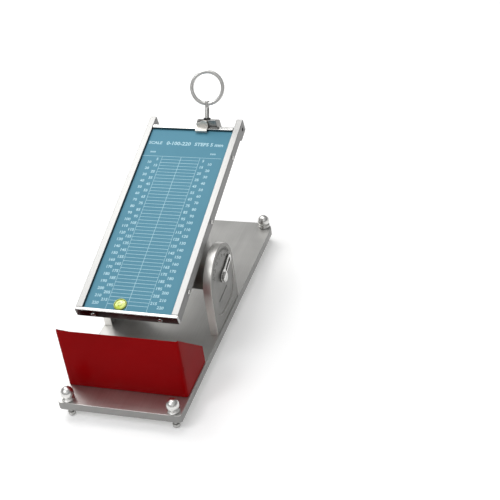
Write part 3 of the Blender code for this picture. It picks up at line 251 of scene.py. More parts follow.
def mesh_from(name, build):
    shape = bmesh.new()
    build(shape)
    bmesh.ops.recalc_face_normals(shape, faces=shape.faces)
    mesh = bpy.data.meshes.new(name)
    shape.to_mesh(mesh)
    shape.free()
    return mesh


def stacked(name, rings, closed=False):
    """A skin over rings of points that all have the same count, closed at its ends."""
    def build(shape):
        loops = [[shape.verts.new(point) for point in ring] for ring in rings]
        count = len(loops[0])
        pairs = list(zip(loops, loops[1:] + loops[:1] if closed else loops[1:]))
        for lower, upper in pairs:
            for i in range(count):
                j = (i + 1) % count
                shape.faces.new((lower[i], lower[j], upper[j], upper[i]))
        if not closed:
            shape.faces.new(list(reversed(loops[0])))
            shape.faces.new(loops[-1])
    return mesh_from(name, build)


def slab(name, outline, low, high, rim=0.0, steps=1):
    """A flat outline made solid between two heights, its rims cut or rounded by rim."""
    area = sum(a.cross(b) for a, b in zip(outline, outline[1:] + outline[:1]))
    if area < 0:
        outline = list(reversed(outline))
    turns = [math.pi / 2 * i / steps for i in range(steps + 1)] if rim else [math.pi / 2]
    rims = [(rim * (1 - math.sin(t)), rim * (1 - math.cos(t))) for t in turns]
    levels = [(inset, low + rise) for inset, rise in rims]
    levels += [(inset, high - rise) for inset, rise in reversed(rims)]
    if not rim:
        levels = [(0, low), (0, high)]
    return stacked(name, [[(p.x, p.y, level) for p in shrunk(outline, inset)]
                          for inset, level in levels])


def turned(name, profile, steps=64, closed=False):
    """A (radius, height) line turned about Z, from the axis back to it, or closed on itself."""
    def build(shape):
        rings = []
        for radius, level in profile:
            if radius < 1e-7:
                rings.append([shape.verts.new((0, 0, level))])
                continue
            rings.append([shape.verts.new((radius * math.cos(2 * math.pi * i / steps),
                                           radius * math.sin(2 * math.pi * i / steps), level))
                          for i in range(steps)])
        for a, b in zip(rings, rings[1:] + (rings[:1] if closed else [])):
            for i in range(steps):
                j = (i + 1) % steps
                corners = [a[i % len(a)], a[j % len(a)], b[j % len(b)], b[i % len(b)]]
                corners = [c for k, c in enumerate(corners) if c not in corners[:k]]
                if len(corners) > 2:
                    shape.faces.new(corners)
    return mesh_from(name, build)


def carved(mesh, *cutters, joined=False):
    """The mesh with each cutter taken out of it, or joined to it."""
    blank = link(bpy.data.objects.new("blank", mesh))
    tools = [blank]
    for cutter, place in cutters:
        tool = link(bpy.data.objects.new("tool", cutter))
        tool.matrix_world = place
        tools.append(tool)
        step = blank.modifiers.new("Boolean", "BOOLEAN")
        step.operation = "UNION" if joined else "DIFFERENCE"
        step.object = tool
        step.solver = "EXACT"
    bpy.context.view_layer.update()
    evaluated = blank.evaluated_get(bpy.context.evaluated_depsgraph_get())
    made = bpy.data.meshes.new_from_object(evaluated)
    made.name = mesh.name
    for tool in tools:
        bpy.data.objects.remove(tool)
    return made


def drill(radius, low, high, flare=0.25 * MM, steps=40):
    """A cutter for a round hole from low to high, flared where it meets each face."""
    past = 1 * MM
    return turned("drill", [(0, low - past), (radius + flare + past, low - past),
                            (radius, low + flare), (radius, high - flare),
                            (radius + flare + past, high + past), (0, high + past)], steps)


def place(name, mesh, body, slot_name, finish, axes=Matrix(), nodes=(), sharp=32):
    """Put a finished piece on its body, in the room of the CAD nodes that it stands for."""
    mesh.shade_smooth()
    mesh.set_sharp_from_angle(angle=math.radians(sharp))
    mesh.materials.clear()
    mesh.materials.append(finish.material)
    made = link(bpy.data.objects.new(name, mesh))
    made.matrix_world = axes
    even = made.modifiers.new("Even normals", "WEIGHTED_NORMAL")
    even.keep_sharp = True
    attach(made, body)
    if nodes:
        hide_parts(*nodes)
    return made


def satin_aluminium(name, tone, rough, grain, clouds=30, tint=(1.0, 0.995, 0.97), across=None,
                    painted_shade_share=1.0, rims=False):
    """Satin aluminium, with grain along the axis whose count in grain is the small one.

    Faces that look along the axis numbered across are painted darker, as painted shade, down to a
    share of the dark tone.  If rims is true, it is the faces that look any other way.
    """
    finish = Finish(name, {"Metallic": 1.0})
    lines = finish.noise(grain, 4, 0.65)
    patches = finish.noise((clouds, clouds, clouds), 3)
    marks = finish.clipped(finish.noise((260, 260, 260), 5, 0.7), 0.63, 0.72)
    light = [tone * 1.08 * c for c in tint]
    dark = [tone * 0.88 * c for c in tint]
    shade = lines * 0.55 + patches * 0.45
    colour = finish.mix(finish.clipped(shade, 0.3, 0.7), dark, light)
    if across is not None:
        facing = finish.node("SeparateXYZ", {}, {0: finish.node("TexCoord", out="Normal")},
                             across)
        # Painted shade: the faces picked by their normal are painted darker than the rest.
        painted_shade_faces = finish.clipped(facing * facing, 0.25, 0.75)
        colour = finish.mix(1 - painted_shade_faces if rims else painted_shade_faces, colour, [painted_shade_share * c for c in dark])
    finish.set(Base_Color=colour,
               Roughness=rough + (lines - 0.5) * 0.16 + marks * 0.08 + (patches - 0.5) * 0.08,
               Normal=finish.bump(lines, 0.03 * MM, 0.35))
    return finish


base_low, base_high = span("base_plate")
# The plate's side faces and rims are painted darker than its top, as painted shade.
rolled_plate = satin_aluminium("rolled_plate", 0.60, 0.40, (1500, 9, 1500), across=2,
                               painted_shade_share=0.50, rims=True)
FRONT_CORNER = 4 * MM
REAR_CORNER = 14 * MM
PLATE_RIM = 0.8 * MM
STUD_HOLE_RADIUS = 3.25 * MM
COUNTERBORE_RADIUS = 5.05 * MM
COUNTERBORE_DEPTH = 4.9 * MM
base_mesh = slab("base_plate", oblong(base_low, base_high, FRONT_CORNER, REAR_CORNER),
                 base_low.z, base_high.z, PLATE_RIM, 2)
FEET = [end + "_" + side for end in ("front", "rear") for side in ("left", "right")]
foot_places = {}
base_tools = []
for corner in FEET:
    foot_low, foot_high = span("levelling_foot_" + corner)
    centre = (foot_low + foot_high) / 2
    foot_places[corner] = Matrix.Translation((centre.x, centre.y, 0))
    base_tools.append((drill(STUD_HOLE_RADIUS, base_low.z, base_high.z, 0.3 * MM),
                       foot_places[corner]))
for corner in FEET:
    head_low, head_high = span("bracket_screw_" + corner)
    centre = (head_low + head_high) / 2
    counterbore = drill(COUNTERBORE_RADIUS, base_low.z - 5 * MM,
                        base_low.z + COUNTERBORE_DEPTH, 0)
    base_tools.append((counterbore, Matrix.Translation((centre.x, centre.y, 0))))
place("milled_base_plate", carved(base_mesh, *base_tools), "base", "satin_aluminium",
      rolled_plate, nodes=["base_plate"])


# ---- Levelling feet --------------------------------------------------------------------
# Each corner has a polished steel ball knob turned in one piece with its M6 stud.  The stud
# passes through the plate and its tip turns in a small round foot that stands on the bench.
def polished_steel(name, tone=0.72, rough=0.10, rings=2600):
    """Turned and polished steel: faint rings round its own Z axis, and a few smudges."""
    finish = Finish(name, {"Metallic": 1.0})
    turning = finish.noise((0.001, 0.001, rings), 2)
    smudge = finish.noise((120, 120, 120), 4, 0.6)
    finish.set(Base_Color=finish.mix(smudge, [tone * c for c in (0.90, 0.90, 0.87)],
                                     [tone * c for c in (1.06, 1.05, 1.03)]),
               Roughness=rough + finish.clipped(smudge, 0.45, 0.75, 0.0, 0.12)
               + (turning - 0.5) * 0.06,
               Normal=finish.bump(turning, 0.01 * MM, 0.25))
    return finish


def arc(radius, centre, first, last, pieces):
    """(radius, height) points of an arc about centre, from one angle in degrees to another."""
    turns = [math.radians(first + (last - first) * i / pieces) for i in range(pieces + 1)]
    return [(centre[0] + radius * math.cos(t), centre[1] + radius * math.sin(t)) for t in turns]


def threaded(name, radius, depth, pitch, low, high, tip=0.5 * MM, steps=36, cuts=8):
    """A rod with a real helical thread, chamfered at both ends."""
    rows = max(2, round((high - low) / pitch * cuts))
    rings = []
    for row in range(rows + 1):
        level = low + (high - low) * row / rows
        ends = min(1.0, (level - low) / tip, (high - level) / tip)
        ring = []
        for i in range(steps):
            wave = abs(2 * ((level / pitch - i / steps) % 1) - 1)
            reach = min(radius - depth * wave, radius - depth * 1.2 * (1 - ends))
            turn = 2 * math.pi * i / steps
            ring.append((reach * math.cos(turn), reach * math.sin(turn), level))
        rings.append(ring)
    return stacked(name, rings)


ball_steel = polished_steel("ball_steel", 0.72, 0.27)
stud_steel = polished_steel("stud_steel", 0.50, 0.28, 900)
BALL_RADIUS = 7.5 * MM
SKIRT_RADIUS = 7.3 * MM
SKIRT_HEIGHT = 3.0 * MM
NECK_RADIUS = 6.0 * MM
STUD_RADIUS = 3.0 * MM
TIP_RADIUS = 1.9 * MM
RIM_ROUND = 0.5 * MM
FOOT_ROUND = 0.3 * MM
knob_base = base_high.z + 0.3 * MM
ball_centre = span("levelling_knob_front_left")[1].z - knob_base - BALL_RADIUS
ball_foot = math.degrees(math.asin((SKIRT_HEIGHT + 0.6 * MM - ball_centre) / BALL_RADIUS))
knob_profile = arc(BALL_RADIUS, (0, ball_centre), 90, ball_foot, 40) + [
    (NECK_RADIUS, SKIRT_HEIGHT + 0.35 * MM), (NECK_RADIUS, SKIRT_HEIGHT + 0.1 * MM),
    (SKIRT_RADIUS - RIM_ROUND, SKIRT_HEIGHT)]
knob_profile += arc(RIM_ROUND, (SKIRT_RADIUS - RIM_ROUND, SKIRT_HEIGHT - RIM_ROUND), 75, 0, 4)
knob_profile += [(SKIRT_RADIUS, 1.3 * MM), (SKIRT_RADIUS - 0.25 * MM, 1.1 * MM),
                 (SKIRT_RADIUS, 0.9 * MM)]
knob_profile += arc(FOOT_ROUND, (SKIRT_RADIUS - FOOT_ROUND, FOOT_ROUND), 0, -90, 3) + [(0, 0)]
FOOT_RADIUS = 4.2 * MM
CUP_RADIUS = 2.15 * MM
CUP_FLOOR = 2.3 * MM
foot_top = span("levelling_foot_front_left")[1].z
foot_profile = [(0, CUP_FLOOR), (CUP_RADIUS, CUP_FLOOR), (CUP_RADIUS, foot_top - FOOT_ROUND),
                (CUP_RADIUS + FOOT_ROUND, foot_top), (FOOT_RADIUS - RIM_ROUND, foot_top)]
foot_profile += arc(RIM_ROUND, (FOOT_RADIUS - RIM_ROUND, foot_top - RIM_ROUND), 80, 0, 4)
foot_profile += [(FOOT_RADIUS, 3.2 * MM), (3.9 * MM, 3.0 * MM), (FOOT_RADIUS, 2.8 * MM),
                 (FOOT_RADIUS, 1.5 * MM), (3.0 * MM, 0.1 * MM), (2.8 * MM, 0), (0, 0)]
for corner in FEET:
    axes = foot_places[corner]
    knob_axes = axes @ Matrix.Translation((0, 0, knob_base))
    place("turned_knob_" + corner, turned("knob", knob_profile, 72), "screw_" + corner,
          "polished_steel", ball_steel, knob_axes, ["levelling_knob_" + corner])
    stud = threaded("stud", STUD_RADIUS, 0.5 * MM, 1.0 * MM, foot_top + 0.35 * MM,
                    knob_base + 0.5 * MM)
    place("threaded_stud_" + corner, stud, "screw_" + corner, "polished_steel", stud_steel, axes)
    tip = turned("tip", [(0, foot_top + 0.8 * MM), (TIP_RADIUS, foot_top + 0.8 * MM),
                         (TIP_RADIUS, 3.0 * MM), (1.5 * MM, 2.6 * MM), (0, 2.6 * MM)], 32)
    place("stud_tip_" + corner, tip, "screw_" + corner, "polished_steel", stud_steel, axes)
    place("turned_foot_" + corner, turned("foot", foot_profile, 48), "foot_" + corner,
          "polished_steel", stud_steel, axes, ["levelling_foot_" + corner])


# ---- Ball catcher ----------------------------------------------------------------------
# One 1.5 mm sheet folded into a front wall, two wings that slope down to the back and a short
# flange under the front wall.  It is sprayed deep gloss red, and two screws hold the flange.
def gloss_red(name):
    finish = Finish(name, {"Coat Weight": 0.05, "Coat Roughness": 0.03, "Coat IOR": 1.3,
                           "IOR": 1.07})
    clouds = finish.noise((14, 14, 22), 3)
    peel = finish.noise((700, 700, 700), 2)
    dust = finish.clipped(finish.noise((1500, 1500, 1500), 2), 0.70, 0.80)
    deep = finish.mix(clouds, (0.185, 0.0006, 0.0013), (0.265, 0.0011, 0.0022))
    finish.set(Base_Color=finish.mix(dust * 0.10, deep, (0.45, 0.06, 0.06)),
               Roughness=0.24 + clouds * 0.10 + dust * 0.2,
               Normal=finish.bump(peel, 0.02 * MM, 0.12))
    return finish


catcher_low, catcher_high = span("ball_catcher")
SHEET = 1.5 * MM
BEND = 3.0 * MM
WING_REAR_HEIGHT = 23 * MM
FLANGE_HALF = 55 * MM
FLANGE_DEPTH = 16 * MM
ROWS = 6
slope_start = catcher_low.y + BEND


def wall_top(y):
    """Height of the wing's sloping edge at y."""
    along = max(0.0, (y - slope_start) / (catcher_high.y - slope_start))
    drop = (catcher_high.z - catcher_low.z - WING_REAR_HEIGHT) * along
    return catcher_high.z - drop


def folded_wall(shape):
    """Outer face of the front wall and both wings, as one sheet with no thickness yet."""
    wing = [(catcher_low.x, catcher_high.y - (catcher_high.y - slope_start) * i / 10)
            for i in range(10)]
    wing += [(catcher_low.x + BEND - x, catcher_low.y + BEND - y)
             for x, y in arc(BEND, (0, 0), 0, 90, 6)]
    front = [(catcher_low.x + BEND * 2 + (-2 * catcher_low.x - 4 * BEND) * i / 16, catcher_low.y)
             for i in range(17)]
    columns = [[shape.verts.new((x, y, catcher_low.z + (wall_top(y) - catcher_low.z) * k / ROWS))
                for k in range(ROWS + 1)]
               for x, y in wing + front + [(-x, y) for x, y in reversed(wing)]]
    for a, b in zip(columns, columns[1:]):
        for k in range(ROWS):
            shape.faces.new((a[k], b[k], b[k + 1], a[k + 1]))


red_sheet = gloss_red("red_sheet")
wall = mesh_from("folded_catcher", folded_wall)
catcher = place("folded_ball_catcher", wall, "base", "red_sheet", red_sheet,
                nodes=["ball_catcher"], sharp=50)
catcher.modifiers.clear()
thick = catcher.modifiers.new("Sheet", "SOLIDIFY")
thick.thickness = SHEET
thick.offset = -1
soft_edge = catcher.modifiers.new("Edges", "BEVEL")
soft_edge.width = 0.35 * MM
soft_edge.segments = 2
soft_edge.limit_method = "ANGLE"
soft_edge.angle_limit = math.radians(50)
soft_edge.harden_normals = True

flange_outline = oblong((-FLANGE_HALF, catcher_low.y + SHEET * 0.8),
                        (FLANGE_HALF, catcher_low.y + FLANGE_DEPTH), 0, 2 * MM)
place("catcher_flange", slab("flange", flange_outline, catcher_low.z, catcher_low.z + SHEET,
                             0.3 * MM, 2), "base", "red_sheet", red_sheet)


def button_screw(name, head_radius, head_height, shank_radius, length, socket_radius):
    """A button-head screw with a hexagon socket: the head's underside is at z = 0."""
    dome = arc(1, (0, 0), 90, 8, 10)
    profile = [(head_radius * x, head_height * (0.12 + 0.88 * y)) for x, y in dome]
    profile += [(head_radius, 0), (shank_radius, 0), (shank_radius, -length), (0, -length)]
    socket = turned("socket", [(0, head_height * 0.35), (socket_radius, head_height * 0.35),
                               (socket_radius, head_height * 2), (0, head_height * 2)], 6)
    return carved(turned(name, profile, 40), (socket, Matrix()))


def seat(node, head_up, axes=Matrix()):
    """Axes of a screw whose head looks along head_up, from the box of its CAD node."""
    low, high = span(node, axes)
    centre = (low + high) / 2
    along = max(range(3), key=lambda i: abs(head_up[i]))
    centre[along] = (high if head_up[along] > 0 else low)[along]
    turn = Vector(head_up).to_track_quat("Z", "Y").to_matrix().to_4x4()
    return axes @ Matrix.Translation(centre) @ turn


def fasten(name, body, look, head, shank, socket_radius, head_up, axes=Matrix()):
    """Make a button-head screw where its CAD node is; head and shank are (radius, length)."""
    screw = button_screw(name, *head, *shank, socket_radius)
    seat_axes = seat(name, head_up, axes) @ Matrix.Translation((0, 0, -head[1]))
    place("button_" + name, screw, body, *look, seat_axes, [name])


SIDES = ("left", "right")
zinc_screw = ("polished_steel", polished_steel("zinc_screw", 0.60, 0.22, 500))
for side in SIDES:
    fasten("catcher_screw_" + side, "base", zinc_screw, (3.6 * MM, 2.0 * MM), (1.4 * MM, 7 * MM),
           1.25 * MM, (0, 0, 1))


# ---- Brackets --------------------------------------------------------------------------
# Two D-shaped plates, 10 mm thick, stand on the base and carry the tilt axis.  Their rims are
# brushed across and painted bright, part painted highlight, their flat faces are painted dark as
# painted shade, and the right one has a shallow pocket for the angle scale.
joints = {joint["name"]: joint for joint in frame["joints"]}
SIDEWAYS = Matrix(((0, 0, 1, 0), (1, 0, 0, 0), (0, 1, 0, 0), (0, 0, 0, 1)))
pivot = Matrix.Translation(joints["board_tilt"]["pos_m"])
bracket_axes = pivot @ SIDEWAYS
HEAD_RADIUS = 40 * MM
POCKET_DEPTH = 1.8 * MM
POCKET_PLAY = 0.3 * MM
BUSH_HOLE_RADIUS = 8.25 * MM
dial_low, dial_high = span("angle_scale", bracket_axes)


def dial_shape(grow):
    """Outline of the dial pocket, larger than the scale plate by grow."""
    reach = (dial_high.x - dial_low.x) / 2 + grow
    corner = 25.7 * MM + grow
    return rounded([
        (-reach, dial_low.y - grow, corner), (reach, dial_low.y - grow, corner),
        (reach, reach, reach), (-reach, reach, reach)], math.radians(5))


def bracket_metal(name):
    """Aluminium with long brushing on its rim and a finer satin on its flat faces; the rim is
    painted bright, part painted highlight, and the flat faces are painted dark as painted shade.
    """
    finish = Finish(name, {"Metallic": 1.0})
    around = finish.noise((60, 60, 2400), 4, 0.65)
    fine = finish.noise((420, 420, 420), 4, 0.7)
    turned_out = finish.node("SeparateXYZ", {}, {0: finish.node("TexCoord", out="Normal")}, 2)
    rim = 1 - finish.clipped(turned_out * turned_out, 0.35, 0.7)
    # Painted light by facing: the flat faces take a dark painted shade and the rim a bright painted
    # highlight.
    flat_with_painted_shade = finish.mix(fine, (0.17, 0.17, 0.162), (0.25, 0.247, 0.235))
    rim_with_painted_highlight = finish.mix(around, (0.66, 0.65, 0.62), (0.86, 0.85, 0.82))
    finish.set(Base_Color=finish.mix(rim, flat_with_painted_shade, rim_with_painted_highlight),
               Roughness=0.42 + (around - 0.5) * 0.16,
               Normal=finish.bump(around * rim + fine * (1 - rim), 0.03 * MM, 0.4))
    return finish


bracket_alloy = bracket_metal("bracket_alloy")
for side in SIDES:
    low, high = span("bracket_" + side, bracket_axes)
    outline = rounded([
        (-HEAD_RADIUS, low.y, 0), (HEAD_RADIUS, low.y, 0),
        (HEAD_RADIUS, HEAD_RADIUS, HEAD_RADIUS), (-HEAD_RADIUS, HEAD_RADIUS, HEAD_RADIUS)],
        math.radians(3))
    plate = slab("bracket", outline, low.z, high.z, PLATE_RIM, 2)
    tools = [(drill(BUSH_HOLE_RADIUS, low.z, high.z), Matrix())]
    if side == "right":
        pocket = slab("pocket", dial_shape(POCKET_PLAY), high.z - POCKET_DEPTH, high.z + 2 * MM)
        lip = stacked("lip", [[(p.x, p.y, level) for p in dial_shape(grow)]
                              for grow, level in ((POCKET_PLAY, high.z - 0.35 * MM),
                                                  (1.15 * MM, high.z + 0.5 * MM))])
        tools += [(pocket, Matrix()), (lip, Matrix())]
    place("milled_bracket_" + side, carved(plate, *tools), "base", "satin_aluminium",
          bracket_alloy, bracket_axes, ["bracket_" + side])


def mottled(name, sockets, patches, detail, first, second, rough, spread):
    """A finish between two colours, in patches of so many to the metre, and its pattern."""
    finish = Finish(name, sockets)
    pattern = finish.noise((patches, patches, patches), detail)
    finish.set(Base_Color=finish.mix(pattern, first, second), Roughness=rough + pattern * spread)
    return finish, pattern


black_oxide, specks = mottled("black_screw", {"Metallic": 1.0}, 300, 4, (0.030, 0.030, 0.032),
                              (0.075, 0.073, 0.070), 0.34, 0.2)
black_oxide.set(Normal=black_oxide.bump(specks, 0.02 * MM, 0.2))
black_screw = ("dark_steel", black_oxide)
BRACKET_HEAD = (4.8 * MM, 4.0 * MM)
for corner in FEET:
    name = "bracket_screw_" + corner
    low, high = span(name)
    fasten(name, "base", black_screw, BRACKET_HEAD, (2.5 * MM, high.z - low.z - BRACKET_HEAD[1]),
           2.5 * MM, (0, 0, -1))


# ---- Angle scale and bushes ------------------------------------------------------------
# A thin satin plate sits in the right bracket's pocket, with degree marks and figures in
# black paint, and one shallow groove cut under them.
# Turned bronze bushes line both brackets, their flanges on the inner side.
def engraved_metal(name):
    finish = Finish(name, {"Metallic": 1.0})
    streaks = finish.noise((1300, 14, 1300), 4, 0.65)
    blotch = finish.noise((55, 55, 55), 4)
    finish.set(Base_Color=finish.mix(finish.clipped(blotch * 0.6 + streaks * 0.4, 0.3, 0.7),
                                     (0.14, 0.14, 0.135), (0.25, 0.247, 0.235)),
               Roughness=0.40 + (streaks - 0.5) * 0.2, Normal=finish.bump(streaks, 0.02 * MM, 0.3))
    return finish


dial_metal = engraved_metal("dial_metal")
mark_paint = mottled("mark_paint", {}, 900, 3, (0.030, 0.030, 0.030), (0.11, 0.11, 0.10),
                     0.5, 0.2)[0]
dial_plate = slab("dial", dial_shape(0), dial_low.z, dial_high.z, 0.15 * MM)
SHAFT_HOLE_RADIUS = 5.25 * MM
GROOVE_DEPTH = 0.4 * MM
GROOVE_REACH = (14.4 * MM, 1.1 * MM)
GROOVE_PLACE = (-5.2 * MM, -20.4 * MM, 0)
GROOVE_TURN = math.radians(6.6)
groove_outline = oblong([-reach for reach in GROOVE_REACH], GROOVE_REACH, 1 * MM,
                        step=math.radians(15))
groove = slab("groove", groove_outline, dial_high.z - GROOVE_DEPTH, dial_high.z + 1 * MM)
dial_plate = carved(
    dial_plate, (drill(SHAFT_HOLE_RADIUS, dial_low.z, dial_high.z, 0.1 * MM), Matrix()),
    (groove, Matrix.Translation(GROOVE_PLACE) @ Matrix.Rotation(GROOVE_TURN, 4, "Z")))
place("engraved_angle_scale", dial_plate, "base", "engraved_dial", dial_metal, bracket_axes,
      ["angle_scale"])

def bar(shape, middle, turn, length, width, low, high):
    """A thin flat mark, centred on middle and turned in its plane."""
    size = Matrix.Diagonal((length, width, high - low, 1))
    spot = Matrix.Translation((middle[0], middle[1], (low + high) / 2))
    bmesh.ops.create_cube(shape, size=1, matrix=spot @ Matrix.Rotation(turn, 4, "Z") @ size)


glyphs = {}


def write(shape, words, middle, size, low, high, turn=0.0):
    """Flat raised figures and letters, centred on middle."""
    if words not in glyphs:
        text = bpy.data.curves.new("text", "FONT")
        text.body = words
        text.align_x = "CENTER"
        text.align_y = "CENTER"
        text.resolution_u = 2
        text.extrude = 0.5
        text.offset = 0.03
        holder = link(bpy.data.objects.new("text", text))
        bpy.context.view_layer.update()
        evaluated = holder.evaluated_get(bpy.context.evaluated_depsgraph_get())
        glyphs[words] = bpy.data.meshes.new_from_object(evaluated)
        bpy.data.objects.remove(holder)
    before = len(shape.verts)
    shape.from_mesh(glyphs[words])
    shape.verts.ensure_lookup_table()
    spot = Matrix.Translation((middle[0], middle[1], (low + high) / 2))
    fit = spot @ Matrix.Rotation(turn, 4, "Z") @ Matrix.Diagonal((size, size, high - low, 1))
    bmesh.ops.transform(shape, matrix=fit, verts=shape.verts[before:])


PAINT = 0.04 * MM
MARKS_END = 60
MARKS_RADIUS = 34.2 * MM
LONG_MARK = (5.6 * MM, 0.9 * MM)
SHORT_MARK = (3.2 * MM, 0.5 * MM)
FIGURE_RADIUS = 25.6 * MM
FIGURE_SIZE = 4.6 * MM


def dial_marks(shape):
    """A mark each 2 degrees either side of upright, longer each 10, with figures each 20."""
    low, high = dial_high.z - 0.1 * MM, dial_high.z + PAINT
    for degree in range(-MARKS_END, MARKS_END + 1, 2):
        turn = math.radians(90 + degree)
        way = Vector((math.cos(turn), math.sin(turn)))
        length, width = LONG_MARK if degree % 10 == 0 else SHORT_MARK
        bar(shape, way * (MARKS_RADIUS - length / 2), turn, length, width, low, high)
        if degree % 20 == 0:
            write(shape, str(abs(degree)), way * FIGURE_RADIUS, FIGURE_SIZE, low, high,
                  turn - math.pi / 2)


place("engraved_marks", mesh_from("dial_marks", dial_marks), "base", "engraved_dial", mark_paint,
      bracket_axes)

bronze = Finish("bronze", {"Metallic": 1.0})
turning_lines = bronze.noise((0.001, 0.001, 3000), 2)
tarnish = bronze.noise((200, 200, 200), 4)
bronze.set(Base_Color=bronze.mix(tarnish, (0.42, 0.26, 0.12), (0.60, 0.42, 0.22)),
           Roughness=0.30 + tarnish * 0.15, Normal=bronze.bump(turning_lines, 0.02 * MM, 0.3))
for side, sign in zip(SIDES, (-1, 1)):
    low, high = span("pivot_bush_" + side, bracket_axes)
    inner = high.z if side == "left" else low.z
    length = high.z - low.z
    bush = turned("bush", [
        (SHAFT_HOLE_RADIUS, 0.3 * MM), (SHAFT_HOLE_RADIUS, length - 0.3 * MM),
        (5.55 * MM, length),
        (7.7 * MM, length), (8.0 * MM, length - 0.3 * MM), (8.0 * MM, 3.5 * MM),
        (12.6 * MM, 3.5 * MM), (13.0 * MM, 3.1 * MM), (13.0 * MM, 0.4 * MM), (12.6 * MM, 0),
        (5.55 * MM, 0)], 64, closed=True)
    outward = Matrix.Translation((0, 0, inner)) @ Matrix.Diagonal((1, sign, sign, 1))
    place("turned_bush_" + side, bush, "base", "bush_bronze", bronze, bracket_axes @ outward,
          ["pivot_bush_" + side])


# ---- Shaft, spacers, pointer and lock knob ---------------------------------------------
# The board turns on a ground steel shaft with a spacer each side.  A slotted pointer and its
# cap nut sit on the shaft's right end, and a fluted knob on the left end locks the tilt.
REST_TILT = -math.radians(joints["board_tilt"]["range_deg"][0])
board = pivot @ Matrix.Rotation(REST_TILT, 4, "X")
shaft_axes = board @ SIDEWAYS
ground_steel = polished_steel("ground_steel", 0.62, 0.18)
low, high = span("pivot_shaft", shaft_axes)
step_low = span("angle_pointer", shaft_axes)[0].z - 0.3 * MM
shaft = turned("shaft", [
    (0, high.z), (2.7 * MM, high.z), (3.0 * MM, high.z - 0.3 * MM), (3.0 * MM, step_low),
    (4.7 * MM, step_low), (5.0 * MM, step_low - 0.3 * MM), (5.0 * MM, low.z + 0.4 * MM),
    (4.6 * MM, low.z), (0, low.z)], 56)
place("ground_pivot_shaft", shaft, "board", "polished_steel", ground_steel, shaft_axes,
      ["pivot_shaft"])
for side in SIDES:
    low, high = span("shaft_spacer_" + side, shaft_axes)
    spacer = turned("spacer", [
        (SHAFT_HOLE_RADIUS, low.z), (8.6 * MM, low.z), (9.0 * MM, low.z + 0.4 * MM),
        (9.0 * MM, high.z - 0.4 * MM), (8.6 * MM, high.z), (SHAFT_HOLE_RADIUS, high.z)], 56,
        closed=True)
    place("turned_spacer_" + side, spacer, "board", "polished_steel", ground_steel, shaft_axes,
          ["shaft_spacer_" + side])

low, high = span("angle_pointer", shaft_axes)
HUB = 6.5 * MM
HALF = 5.0 * MM
TAPER = 3 * MM
pointer_outline = rounded([
    (-HUB, -HUB, HUB * 0.98), (HUB, -HUB, HUB / 2), (HUB + TAPER, -HALF, 0.6 * MM),
    (high.x - TAPER, -HALF, 0.8 * MM), (high.x, 0, 0), (high.x - TAPER, HALF, 0.8 * MM),
    (HUB + TAPER, HALF, 0.6 * MM), (HUB, HUB, HUB / 2), (-HUB, HUB, HUB * 0.98)],
    math.radians(10))
SLOT_HALF = 2.4 * MM
SLOT_CORNER = 1.5 * MM
STUB_HOLE_RADIUS = 3.25 * MM
slot_outline = oblong((HUB + TAPER, -SLOT_HALF), (high.x - 4.5 * MM, SLOT_HALF), SLOT_CORNER,
                      step=math.radians(15))
pointer = carved(
    slab("pointer", pointer_outline, low.z, high.z, 0.45 * MM, 3),
    (drill(STUB_HOLE_RADIUS, low.z, high.z), Matrix()),
    (slab("slot", slot_outline, low.z - 1 * MM, high.z + 1 * MM), Matrix()))
place("slotted_pointer", pointer, "board", "polished_steel", ground_steel, shaft_axes,
      ["angle_pointer"])
low, high = span("pointer_nut", shaft_axes)
nut = turned("cap_nut", [
    (0, high.z), (4.0 * MM, high.z), (4.9 * MM, high.z - 0.12 * MM),
    (5.6 * MM, high.z - 0.5 * MM), (6.0 * MM, high.z - 1.1 * MM), (6.0 * MM, low.z + 0.3 * MM),
    (5.7 * MM, low.z), (STUB_HOLE_RADIUS, low.z), (STUB_HOLE_RADIUS, high.z - 1 * MM),
    (0, high.z - 1 * MM)], 56)
slit = slab("slit", oblong((-7 * MM, -0.5 * MM), (7 * MM, 0.5 * MM), 0), high.z - 0.6 * MM,
            high.z + 1 * MM)
place("slotted_cap_nut", carved(nut, (slit, Matrix())), "board", "polished_steel", ball_steel,
      shaft_axes, ["pointer_nut"])

low, high = span("lock_knob", shaft_axes)
KNOB_RADIUS = 13 * MM
FLUTES = 12
FLUTE_DEPTH = 1.6 * MM


def fluted_ring(radius, level, depth):
    """One ring of the lock knob's rim, dipped at each flute."""
    ring = []
    for i in range(FLUTES * 12):
        turn = 2 * math.pi * i / (FLUTES * 12)
        dip = max(0.0, math.cos(FLUTES * (turn - math.pi / 2 - math.pi / FLUTES))) ** 3
        reach = radius - depth * dip
        ring.append((reach * math.cos(turn), reach * math.sin(turn), level))
    return ring


lock_rings = [fluted_ring(*ring) for ring in (
    (SHAFT_HOLE_RADIUS, low.z + 1.4 * MM, 0), (5.4 * MM, low.z + 0.5 * MM, 0),
    (9.6 * MM, low.z + 0.3 * MM, 0), (11.4 * MM, low.z, 0.3 * MM),
    (12.4 * MM, low.z + 0.1 * MM, 1.1 * MM), (12.85 * MM, low.z + 0.5 * MM, 1.5 * MM),
    (KNOB_RADIUS, low.z + 1.1 * MM, FLUTE_DEPTH), (KNOB_RADIUS, high.z - 0.5 * MM, FLUTE_DEPTH),
    (12.7 * MM, high.z, FLUTE_DEPTH), (SHAFT_HOLE_RADIUS, high.z, 0))]
place("fluted_lock_knob", stacked("lock", lock_rings), "lock", *black_screw, shaft_axes,
      ["lock_knob"])


